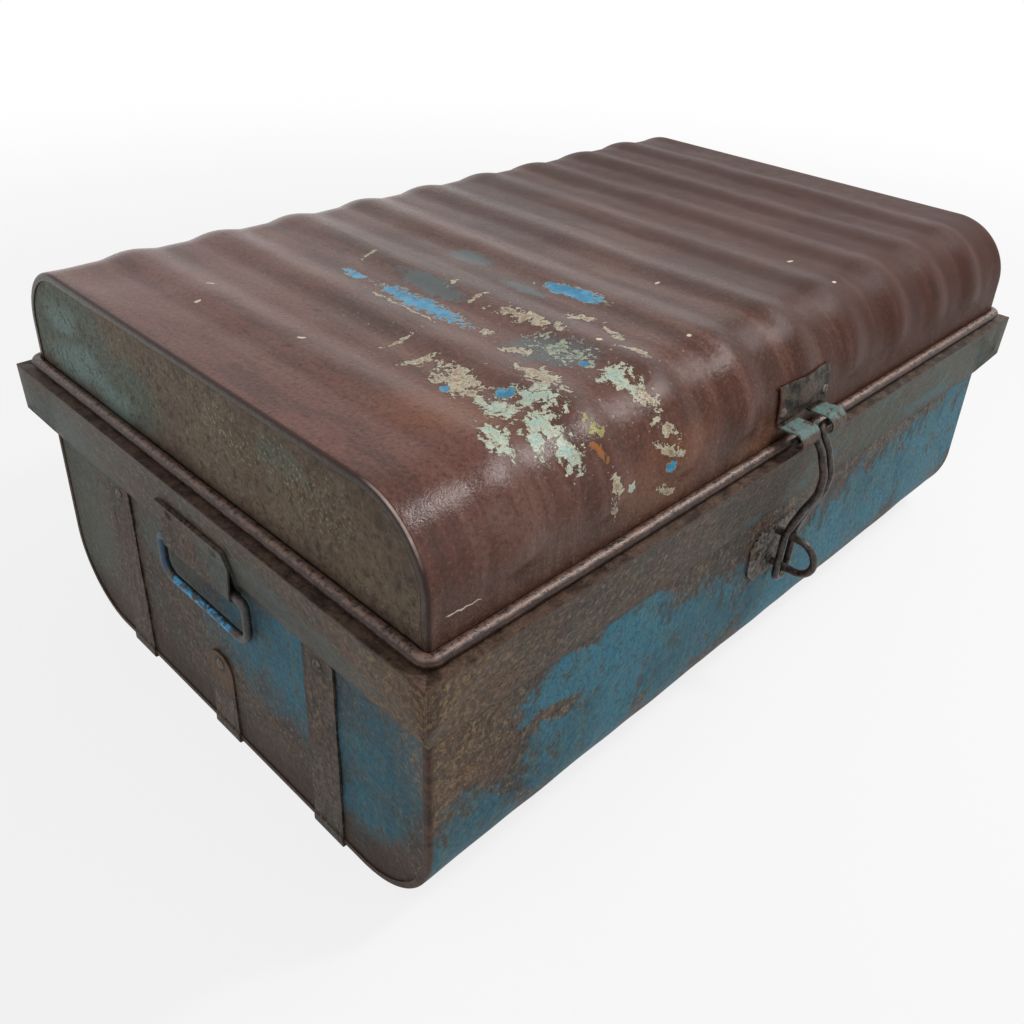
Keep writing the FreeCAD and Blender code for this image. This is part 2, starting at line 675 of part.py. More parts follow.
def hinge_body_rivets():
    length = BAND_HEIGHT / math.cos(BAND_TILT)
    y, z = band_back(length - HINGE_BODY_DROP * 0.65, STRIP)
    out = V(0, math.cos(BAND_TILT), -math.sin(BAND_TILT))
    return [(V(middle + side * HINGE_RIVET_SPREAD / 2, y, z), out, STRIP + SHEET)
            for middle in hinge_places() for side in (-1, 1)]


def make_hinge_body_leaf():
    y, z = hinge_axis()
    outer_r = HINGE_PIN_R + RUN_CLEARANCE + STRIP
    length = BAND_HEIGHT / math.cos(BAND_TILT)
    reach = length + (z - RIM_HEIGHT)
    run = [band_back(*p) for p in ((length - HINGE_BODY_DROP, 0), (reach, 0), (reach, STRIP),
                                   (length - HINGE_BODY_DROP, STRIP))]
    half = HINGE_WIDTH / 2
    leaf = flat([(-half, py, pz) for py, pz in run]).extrude(V(HINGE_WIDTH, 0, 0))
    roll = Part.makeCylinder(outer_r, HINGE_WIDTH, V(-half, y, z), V(1, 0, 0))
    bore = Part.makeCylinder(HINGE_PIN_R, HINGE_WIDTH, V(-half, y, z), V(1, 0, 0))
    gap = HINGE_MID_KNUCKLE / 2 + HINGE_SIDE_GAP
    room = Part.makeCylinder(outer_r + TOUCH_GAP, 2 * gap, V(-gap, y, z), V(1, 0, 0))
    return leaf.fuse(roll).cut([bore, room])


def make_hinge_lid_leaf(middle):
    """Leaf on the lid's back that follows its ribs, with the middle knuckle."""
    y, z = hinge_axis()
    inner_r = HINGE_PIN_R + RUN_CLEARANCE
    outer_r = inner_r + STRIP
    half = HINGE_WIDTH / 2
    foot = hinge_lid_foot()
    leaf = mirrored(skin_plate(middle - half, middle + half, foot, HINGE_LID_ARC), V(0, 1, 0))
    face = HALF_W + RUN_CLEARANCE
    run = [(face, foot), (face, foot + STRIP), (face + STRIP, foot + STRIP), (y, z + outer_r), (y, z + inner_r)]
    x0 = middle - HINGE_MID_KNUCKLE / 2
    tongue = flat([(x0, py, pz) for py, pz in run]).extrude(V(HINGE_MID_KNUCKLE, 0, 0))
    roll = Part.makeCylinder(outer_r, HINGE_MID_KNUCKLE, V(x0, y, z), V(1, 0, 0))
    bore = Part.makeCylinder(inner_r, HINGE_MID_KNUCKLE, V(x0, y, z), V(1, 0, 0))
    leaf = leaf.fuse(tongue.fuse(roll).cut(bore))
    return leaf.cut([rivet_hole(*r) for r in hinge_lid_rivets()])


def hinge_lid_rivets():
    spots = []
    z = hinge_lid_foot() + RIVET_HEAD_R + SHEET
    for middle in hinge_places():
        for side in (-1, 1):
            x = middle + side * HINGE_RIVET_SPREAD / 2
            y = HALF_W + STRIP + RUN_CLEARANCE
            spots.append((V(x, y, z), V(0, 1, 0), STRIP + RUN_CLEARANCE + SHEET))
    return spots


def make_hinge_pin():
    y, z = hinge_axis()
    start = V(-HINGE_WIDTH / 2 - SHEET, y, z)
    return Part.makeCylinder(HINGE_PIN_R, HINGE_WIDTH + 2 * SHEET, start, V(1, 0, 0))


def main():
    os.makedirs("parts", exist_ok=True)
    across = V(1, 0, 0)

    export(make_tub_wrap(), "tub_wrap")
    tub_end = make_tub_end()
    export(tub_end, "tub_end_left")
    export(mirrored(tub_end, across), "tub_end_right")
    for name, strip in band_strips().items():
        export(strip, "rim_band_" + name)
    for row, name in ((-1, "front"), (0, "mid"), (1, "back")):
        export(make_strap(row), "base_strap_" + name)
    export(Part.makeCompound([rivet(*r) for r in strap_rivets()]), "strap_rivets")

    lid_wrap = make_lid_wrap()
    lid_end = make_lid_end()
    lid_end_right = mirrored(lid_end, across)
    core = rim_ring(RIM_WIRE_R)
    bead = rim_ring(BEAD_R).cut([core, lid_wrap, lid_end, lid_end_right])
    export(lid_wrap, "lid_wrap")
    export(lid_end, "lid_end_left")
    export(lid_end_right, "lid_end_right")
    export(bead, "lid_rim_bead")
    export(core, "lid_rim_wire")

    clip, bail = make_clip(), make_bail()
    clip_pins = Part.makeCompound([rivet(*r) for r in clip_rivets()])
    export(clip, "handle_clip_left")
    export(mirrored(clip, across), "handle_clip_right")
    export(Part.makeCompound([clip_pins, mirrored(clip_pins, across)]), "handle_clip_rivets")
    export(bail, "handle_bail_left")
    export(mirrored(bail, across), "handle_bail_right")

    export(make_hasp_plate(), "hasp_plate")
    export(Part.makeCompound([rivet(*r) for r in hasp_rivets()]), "hasp_plate_rivets")
    export(make_hasp_loop(), "hasp_loop")
    export(make_staple_plate(), "staple_plate")
    export(Part.makeCompound([rivet(*r) for r in staple_rivets()]), "staple_plate_rivets")
    export(make_staple(), "staple")

    for middle, name in zip(hinge_places(), ("left", "right")):
        body_leaf, pin = make_hinge_body_leaf(), make_hinge_pin()
        holes = [rivet_hole(*r) for r in hinge_body_rivets()]
        body_leaf.translate(V(middle, 0, 0))
        pin.translate(V(middle, 0, 0))
        export(body_leaf.cut(holes), "hinge_body_leaf_" + name)
        export(make_hinge_lid_leaf(middle), "hinge_lid_leaf_" + name)
        export(pin, "hinge_pin_" + name)
    export(Part.makeCompound([rivet(*r) for r in hinge_body_rivets()]), "hinge_body_rivets")
    export(Part.makeCompound([rivet(*r) for r in hinge_lid_rivets()]), "hinge_lid_rivets")

    print("hasp pivot y z", hasp_pivot(), "hinge axis y z", hinge_axis(), "bail pivot x z", bail_pivot())


main()
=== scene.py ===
import math

import bmesh
import bpy
import numpy as np
from mathutils import Euler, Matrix, Quaternion, Vector, noise


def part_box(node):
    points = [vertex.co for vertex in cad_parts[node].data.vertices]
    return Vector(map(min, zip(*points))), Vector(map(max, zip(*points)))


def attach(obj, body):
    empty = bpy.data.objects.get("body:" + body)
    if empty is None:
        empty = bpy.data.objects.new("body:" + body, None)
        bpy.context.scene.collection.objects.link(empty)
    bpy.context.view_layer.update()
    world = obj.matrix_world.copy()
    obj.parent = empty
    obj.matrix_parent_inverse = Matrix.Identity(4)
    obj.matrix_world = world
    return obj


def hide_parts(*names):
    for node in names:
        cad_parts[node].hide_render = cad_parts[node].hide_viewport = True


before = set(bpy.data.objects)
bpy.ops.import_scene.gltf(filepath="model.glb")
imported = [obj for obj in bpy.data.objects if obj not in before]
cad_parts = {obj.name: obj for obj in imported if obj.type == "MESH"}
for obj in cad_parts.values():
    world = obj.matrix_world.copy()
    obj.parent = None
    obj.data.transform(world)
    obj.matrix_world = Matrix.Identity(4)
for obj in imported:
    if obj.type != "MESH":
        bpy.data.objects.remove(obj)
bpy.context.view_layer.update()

# A sheet-iron travel trunk. Metres, +Z up, X along its length, the hasp side faces -Y.

# Sizes read from the frame
TUB_LOW, TUB_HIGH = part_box("tub_wrap")
LID_LOW, LID_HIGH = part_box("lid_wrap")
SHEET = 0.001
HALF_L = TUB_HIGH.x
HALF_W = TUB_HIGH.y
TUB_Z = TUB_LOW.z
RIM_Z = TUB_HIGH.z + SHEET
LID_FOOT = LID_LOW.z
BAND_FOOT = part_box("rim_band_left")[0].z

# Sheets
TUB_CORNER_R = 0.072
LID_CORNER_R = 0.057
RIB_HEIGHT = 0.0038
LID_TOP = LID_HIGH.z - RIB_HEIGHT
RIB_COUNT = 9
RIB_PITCH = 0.0772
RIB_WIDTH = 0.052
RIB_ROUNDNESS = 1.6
RIB_FADE = 0.014
RIB_WORN = 0.92
RIB_WEAR = (0.09, 0.16)
HEM = 0.006
FOLD_R = 0.0024
GRID_STEP = 0.0040
SHARP_EDGE = 38.0

# Dents: each one's width, depth and step of the seed, and how far below the skin they start
WRAP_DENTS = [(0.110, 0.0016, 0), (0.035, 0.0006, 7)]
WRAP_DENT_LEVEL = 0.0004
END_DENTS = [(0.090, 0.0018, 0), (0.030, 0.0005, 5)]
END_DENT_LEVEL = 0.0006
BAND_DENTS = [(0.120, 0.0014, 0), (0.035, 0.0005, 7)]
BAND_DENT_LEVEL = 0.0003
DENT_EDGE = 0.030
# How far from the rim the sheets stay flat, and the seeds of their dents
LID_STILL = 0.008
LID_END_STILL = 0.006
TUB_STILL = RIM_Z - BAND_FOOT + 0.01
TUB_END_STILL = 0.05
LID_SEED = 11
LID_END_SEED = 31
TUB_SEED = 23
TUB_END_SEED = 41
BAND_SEED = 2

# Rim band
LEDGE_OUT = 0.015
EAR_EDGE = 0.041
EAR_TIP_IN = 0.001
EAR_FOLD_END = 0.050
EAR_FOLD_SIDE = 0.052
LIP_HEIGHT = 0.014
LIP_GAP = 0.001
BAND_STEP = 0.008
BAND_BEVEL = 0.0008

# Hasp
HASP_STRIP = 0.0014
HASP_PLATE_HALF = 0.036
HASP_PIVOT = (-0.262, 0.251)
PLATE_FOOT_UP = 0.020
PLATE_CLIMB = 17.0
PLATE_GAP = 0.0001
HASP_BEVEL = 0.0003
TONGUE_R = 0.0084
TONGUE_SHEET = 0.0015
TONGUES = [("near", -0.0350, -0.0092), ("far", 0.0092, 0.0310)]
TONGUE_ROOT = [(-0.0002, 0.0078), (-0.0060, 0.0080)]
TONGUE_ARC = (-10, 138)
TONGUE_TAPER = 0.0018
TONGUE_SAG = 0.0004
TONGUE_DENT = (0.007, 0.0006, 5)
PLATE_DENT = (0.008, 0.0004, 3)

# Camera
CAMERA_PLACE = (-0.6503, -0.5630, 0.6221)
CAMERA_TURN = (60.18, -2.99, -46.19)
CAMERA_LENS = 35.34
CAMERA_SHIFT = (-0.0293, -0.0752)

# Floor: half its side, where its glow grows to full white, and its glow by the trunk
FLOOR_SIZE = 60.0
FLOOR_FADE = (0.7, 2.4)
FLOOR_GLOW = 0.82

# Lamps: name, place, what it is aimed at, size, watts and roll in degrees
LAMPS = [("long key", (1.43, -0.50, 1.57), (-0.1, -0.2, 0.33), (0.85, 0.10), 11, 17),
         ("near key", (0.62, -0.78, 1.49), (-0.3, -0.2, 0.3), (0.20, 0.34), 14, 0),
         ("front fill", (0.5, -2.2, 1.1), (0, -0.2, 0.2), (1.2, 1.2), 6, 0),
         ("overhead", (-0.6, 0.2, 2.6), (0, 0, 0.3), (2.4, 2.4), 6, 0),
         ("left fill", (-2.2, -0.4, 1.3), (0, 0, 0.2), (1.6, 1.6), 11, 0)]


def colour(red, green, blue):
    """A colour given as 0 to 255 on a screen, as Blender's linear values."""
    def linear(part):
        part /= 255
        return part / 12.92 if part <= 0.04045 else ((part + 0.055) / 1.055) ** 2.4
    return (linear(red), linear(green), linear(blue), 1.0)


# Shader nodes

def feed(tree, socket, value):
    if isinstance(value, bpy.types.NodeSocket):
        tree.links.new(value, socket)
    else:
        socket.default_value = value


def add(tree, kind, inputs, **settings):
    node = tree.nodes.new("ShaderNode" + kind)
    for name, value in settings.items():
        setattr(node, name, value)
    for name, value in inputs.items():
        feed(tree, node.inputs[name], value)
    return node


def maths(tree, operation, a, b=0.0, clamp=False):
    return add(tree, "Math", {0: a, 1: b}, operation=operation, use_clamp=clamp).outputs[0]


def times(tree, a, b):
    return maths(tree, "MULTIPLY", a, b)


def plus(tree, a, b):
    return maths(tree, "ADD", a, b)


def minus(tree, a, b):
    return maths(tree, "SUBTRACT", a, b)


def larger(tree, a, b):
    return maths(tree, "MAXIMUM", a, b)


def apart(tree, a, b):
    """How far apart two values are."""
    return maths(tree, "ABSOLUTE", minus(tree, a, b))


def weighted(tree, *parts):
    """The sum of several values, each times its weight."""
    total = times(tree, *parts[0])
    for value, weight in parts[1:]:
        total = plus(tree, total, times(tree, value, weight))
    return total


def ramp(tree, value, low, high):
    """0 below low, 1 above high and smooth between them; low may be the larger one."""
    node = add(tree, "MapRange", {"Value": value, "From Min": low, "From Max": high},
               interpolation_type="SMOOTHSTEP")
    return node.outputs["Result"]


def speckle(tree, where, scale, detail, rough, twist=0.0):
    node = add(tree, "TexNoise", {"Vector": where, "Scale": scale, "Detail": detail,
                                  "Roughness": rough, "Distortion": twist})
    return node.outputs["Fac"]


def stretched(tree, where, scale):
    return add(tree, "Mapping", {"Vector": where, "Scale": scale}).outputs["Vector"]


def mixed(tree, share, a, b):
    node = add(tree, "Mix", {}, data_type="RGBA")
    feed(tree, node.inputs[0], share)
    feed(tree, node.inputs[6], a)
    feed(tree, node.inputs[7], b)
    return node.outputs[2]


def blend(tree, share, a, b):
    """Between two tones given as 0 to 255."""
    return mixed(tree, share, colour(*a), colour(*b))


def tint(tree, base, mask, share, tone):
    """The base with a share of a tone over it where the mask is 1."""
    return mixed(tree, times(tree, mask, share), base, colour(*tone))


def tinted(tree, base, coats, gate=None):
    """Tints one over another: a value, where its mask begins and is full, its share and its tone."""
    for value, low, high, share, tone in coats:
        mask = ramp(tree, value, low, high)
        base = tint(tree, base, mask if gate is None else times(tree, mask, gate), share, tone)
    return base


def shaken(tree, where, scale, amount):
    """The same place, moved about by noise, so that outlines come out ragged."""
    cloud = add(tree, "TexNoise", {"Vector": where, "Scale": scale, "Detail": 3.0, "Roughness": 0.6})
    centred = add(tree, "VectorMath", {0: cloud.outputs["Color"], 1: (0.5, 0.5, 0.5)}, operation="SUBTRACT")
    moved = add(tree, "VectorMath", {0: centred.outputs[0], 1: (amount, amount, 0.0), 2: where},
                operation="MULTIPLY_ADD")
    return moved.outputs[0]


def plane(tree, u, v):
    return add(tree, "CombineXYZ", {"X": u, "Y": v}).outputs[0]


def patches(tree, where, places):
    """1 in the middle of the nearest patch, 0 outside. A patch is place and half sizes in mm, and turn."""
    total = 0.0
    for u, v, long, wide, turn in places:
        inside = add(tree, "Mapping", {"Vector": where, "Location": (u / 1000, v / 1000, 0.0),
                                       "Rotation": (0.0, 0.0, math.radians(turn)),
                                       "Scale": (long / 1000, wide / 1000, 1.0)}, vector_type="TEXTURE")
        ball = add(tree, "TexGradient", {"Vector": inside.outputs["Vector"]}, gradient_type="SPHERICAL")
        total = ball.outputs["Fac"] if total == 0.0 else larger(tree, total, ball.outputs["Fac"])
    return total


def ragged(tree, cover, coarse, fine, level, edge, rough):
    """A crisper mask from a soft one, its edges broken by two noises, and nothing beyond the soft one."""
    field = weighted(tree, (cover, 1.0), (coarse, 2.2 * rough), (fine, 1.6 * rough))
    mask = ramp(tree, field, level + 1.9 * rough, level + 1.9 * rough + edge)
    return times(tree, mask, ramp(tree, cover, 0.0, 0.1))


def veins(tree, noise_value, width):
    """1 along the thin winding lines where a noise passes its middle."""
    return ramp(tree, apart(tree, noise_value, 0.5), width, width * 0.4)


def flaked(tree, base, cover, coarse, fine, level, outer, inner, dark):
    """Old paint in ragged flakes: one tone along their edges, another inside, a dark line round them."""
    field = weighted(tree, (cover, 0.9), (coarse, 3.0), (fine, 1.6))
    start = level + 2.3
    gate = ramp(tree, cover, 0.0, 0.1)
    mask = times(tree, ramp(tree, field, start, start + 0.06), gate)
    line = times(tree, ramp(tree, field, start - 0.20, start - 0.03), gate)
    base = tint(tree, base, line, 0.6, dark)
    tone = blend(tree, ramp(tree, field, start + 0.20, start + 0.55), outer, inner)
    return mixed(tree, mask, base, tone), mask


def scribbled(tree, base, where, share, scale, dark, light):
    """Thin winding scratches, dark ones and fewer light ones."""
    first = veins(tree, speckle(tree, where, scale, 3.0, 0.6, 1.2), 0.035)
    second = veins(tree, speckle(tree, where, scale * 1.35, 3.0, 0.6, 1.4), 0.022)
    base = tint(tree, base, first, share, dark)
    return tint(tree, base, second, times(tree, share, 0.8), light)


def start_material(name):
    material = bpy.data.materials.new(name)
    material.use_nodes = True
    tree = material.node_tree
    tree.nodes.clear()
    where = add(tree, "TexCoord", {}).outputs["Object"]
    x, y, z = add(tree, "SeparateXYZ", {"Vector": where}).outputs
    return material, tree, where, x, y, z


def end_material(material, base, rough, height, depth, metal=0.0, specular=0.14):
    tree = material.node_tree
    bump = add(tree, "Bump", {"Height": height, "Distance": depth, "Strength": 1.0})
    shader = add(tree, "BsdfPrincipled", {"Base Color": base, "Roughness": rough, "Metallic": metal,
                                          "Normal": bump.outputs["Normal"], "Specular IOR Level": specular})
    add(tree, "OutputMaterial", {"Surface": shader.outputs[0]})
    return material


# Patches. On the unrolled lid: along X, then from the middle line over the round and down the front
LID_CREAM = [(-263, 137, 48, 20, 98), (-263, 98, 22, 6, 9), (-220, 169, 34, 16, 97), (-159, 99, 44, 13, 82),
             (-196, 95, 12, 6, 90), (-172, 223, 15, 10, 60), (-168, 247, 17, 8, 43), (-170, 261, 18, 5, 38),
             (-227, 262, 16, 7, 75), (-228, 281, 14, 5, 70), (-171, 292, 20, 5, 20), (-257, 68, 28, 4, -9),
             (-201, 130, 17, 8, 50), (-124, 119, 21, 8, 65), (-129, 152, 20, 6, 105),
             (-142, 185, 16, 8, 85), (-159, 47, 19, 3, -12), (-154, 14, 16, 3, -13), (-213, 14, 54, 3, 89),
             (-167, -78, 14, 3, -13)]
LID_MINT = [(-269, 181, 24, 14, 84), (-242, 187, 24, 18, 76), (-257, 207, 22, 16, 83),
            (-255, 232, 24, 12, 93), (-292, 207, 24, 13, 100), (-270, 216, 20, 9, 105),
            (-176, 201, 20, 17, 87), (-207, 275, 7, 6, 0)]
LID_GREY = [(-179, 153, 50, 26, 89)]
LID_BLUE = [(-198, 26, 66, 13, 90), (-200, -53, 18, 7, 94), (-95, 85, 40, 12, 82), (-252, 169, 9, 7, 40),
            (-170, 273, 7, 6, 0), (-277, 140, 6, 5, 0), (-182, 172, 6, 5, 0)]
LID_HAZE = [(-170, 4, 58, 17, 94), (-118, 54, 34, 10, 89), (-103, -25, 36, 15, 88), (-185, 146, 50, 30, 60)]
LID_GOLD = [(-228, 224, 17, 11, 62)]
LID_RUST = [(-233, 240, 13, 7, 72)]
LID_TICKS = [(-299, -99, 4, 2, 20), (-304, 26, 4, 2, 40), (-323, -75, 3, 2, 0), (-149, 159, 4, 3, 0),
             (-91, 194, 3, 2, 30), (-354, 290, 18, 0.7, 3), (111, 153, 5, 2, 20), (99, 203, 4, 2, 0),
             (-24, 112, 3, 2, 0)]
LID_SCARS = [(-265, -10, 7, 3, 60), (-318, 30, 6, 3, 40), (-300, -60, 7, 2, 20), (-236, 200, 12, 2, 80),
             (60, 60, 6, 2, 10), (190, 262, 22, 9, 80), (260, 280, 20, 8, 60), (225, 250, 14, 7, 100)]
LID_DULL = [(-140, -40, 150, 60, 84), (-240, 20, 70, 40, 84)]
LID_WARM = [(-165, 278, 85, 36, 0), (-300, 165, 50, 34, 60), (-60, 290, 90, 24, 0)]
LID_DOTTED = [(-200, 140, 190, 120, 90)]
# The lid's coats from below: where, how much is worn off, the tone of their edges and their own tone
LID_FLAKES = [(LID_GREY, 0.60, (158, 166, 146), (98, 108, 100)),
              (LID_CREAM, 0.42, (184, 176, 152), (150, 124, 102)),
              (LID_MINT, 0.36, (184, 186, 164), (160, 184, 172)),
              (LID_GOLD, 0.50, (156, 148, 92), (136, 112, 52)),
              (LID_RUST, 0.46, (128, 86, 52), (150, 88, 38))]
# On the ends of the lid and of the tub: along Y and up
LID_END_GREEN = [(190, 290, 120, 66, 0), (100, 270, 80, 44, 0), (-108, 306, 34, 18, 0)]
LID_END_TEAL = [(170, 262, 60, 26, -10), (185, 300, 30, 22, 0), (118, 256, 44, 20, 0)]
LID_END_LIGHT = [(-150, 284, 100, 44, 0)]
LID_END_GOLD = [(-108, 306, 44, 20, 0), (-140, 298, 56, 30, 0), (-60, 300, 56, 20, 0)]
LID_END_STUDS = [(187, 256, 7, 7, 0), (53, 303, 7, 7, 0)]
END_BLUE = [(-105, 132, 110, 84, 0), (-190, 118, 100, 90, 0), (-185, 66, 80, 60, 0),
            (-45, 132, 84, 60, -20), (-228, 140, 50, 80, 0)]
END_BARE = [(90, 30, 120, 50, 0), (-225, 25, 60, 46, 0), (-90, 20, 90, 34, 0), (-236, 190, 40, 20, 0)]
END_GREEN = [(215, 105, 60, 100, 0), (190, 190, 90, 30, 0), (60, 150, 60, 40, 0)]
BAND_MURK = [(-70, 186, 80, 30, 0), (-170, 184, 60, 22, 0), (205, 190, 70, 40, 0)]
STRAP_RUST = [(0, 68, 30, 26, 0)]
RIVET_RINGS = [(-135, BAND_FOOT * 1000 - 10.2, 10, 10, 0), (0, 71.8, 10, 10, 0),
               (135, BAND_FOOT * 1000 - 10.2, 10, 10, 0)]
# On the front: along X and up
FRONT_BLUE = [(-345, 66, 70, 62, 0), (-262, 146, 60, 30, 0), (-235, 85, 110, 75, 0), (-185, 135, 66, 52, 0),
              (-100, 92, 140, 74, 0), (30, 88, 150, 72, 0), (160, 96, 150, 78, 0), (290, 106, 140, 84, 0),
              (350, 126, 80, 72, 0)]
FRONT_BARE = [(-265, 124, 30, 11, -18), (-350, 150, 46, 34, 0), (-330, 180, 60, 26, 0)]
BAND_STAINS = [(-50, 180, 22, 12, 0), (22, 190, 14, 12, 0), (60, 196, 20, 14, 0), (250, 190, 110, 18, 0)]


# Materials

def lined(tree, base, where, facing, low):
    """Plain dull brown on the faces that look into the trunk; facing is the way out of the wall."""
    normal = add(tree, "TexCoord", {}).outputs["Normal"]
    out = add(tree, "VectorMath", {0: facing, 1: normal}, operation="DOT_PRODUCT").outputs["Value"]
    blots = speckle(tree, where, 18.0, 6.0, 0.66, 0.4)
    grit = speckle(tree, where, 240.0, 4.0, 0.7)
    plain = blend(tree, ramp(tree, blots, 0.40, 0.60), (78, 64, 54), (98, 80, 66))
    plain = tinted(tree, plain, [
        (blots, 0.60, 0.68, 0.5, (102, 68, 48)),
        (grit, 0.47, 0.38, 0.5, (50, 40, 34))])
    plain = tint(tree, plain, low, 0.5, (62, 48, 40))
    return mixed(tree, ramp(tree, out, -0.004, -0.012), base, plain)


def unrolled_lid(tree, x, y, z):
    """The lid laid flat, and how far a place is from its middle line over the front round and down."""
    y_arc = HALF_W - LID_CORNER_R
    ahead = times(tree, y, -1.0)
    out = larger(tree, minus(tree, ahead, y_arc), 0.0)
    above = minus(tree, z, LID_TOP - LID_CORNER_R)
    turn = maths(tree, "ARCTAN2", out, larger(tree, above, 0.0))
    below = larger(tree, times(tree, above, -1.0), 0.0)
    run = plus(tree, maths(tree, "MINIMUM", ahead, y_arc), times(tree, turn, LID_CORNER_R))
    down = plus(tree, run, below)
    return plane(tree, x, down), down


def end_tone(tree, where, y, z):
    """Grey-green towards the back, brown towards the front, on the lid's ends."""
    flat = shaken(tree, plane(tree, y, z), 12.0, 0.05)
    broad = speckle(tree, where, 9.0, 5.0, 0.62, 0.3)
    medium = speckle(tree, where, 75.0, 5.0, 0.68)
    fine = speckle(tree, where, 360.0, 4.0, 0.7)
    blots = speckle(tree, where, 140.0, 4.0, 0.66, 0.5)
    base = blend(tree, ramp(tree, broad, 0.38, 0.62), (86, 70, 57), (106, 90, 75))
    base = tinted(tree, base, [
        (patches(tree, flat, LID_END_GREEN), 0.05, 0.55, 1.0, (84, 92, 82)),
        (patches(tree, flat, LID_END_TEAL), 0.0, 0.6, 0.75, (118, 142, 138)),
        (patches(tree, flat, LID_END_LIGHT), 0.0, 0.5, 0.5, (112, 94, 78)),
        (medium, 0.47, 0.33, 0.7, (50, 44, 36)),
        (fine, 0.48, 0.36, 0.5, (48, 43, 35)),
        (blots, 0.53, 0.62, 0.45, (108, 106, 90)),
        (blots, 0.46, 0.38, 0.6, (54, 45, 37))])
    pale = ramp(tree, broad, 0.40, 0.60)
    base = tinted(tree, base, [(fine, 0.56, 0.63, 0.5, (142, 138, 118))], pale)
    gold = ramp(tree, patches(tree, flat, LID_END_GOLD), 0.0, 0.5)
    base = tinted(tree, base, [(fine, 0.56, 0.62, 0.55, (152, 148, 116))], gold)
    return base, medium, fine


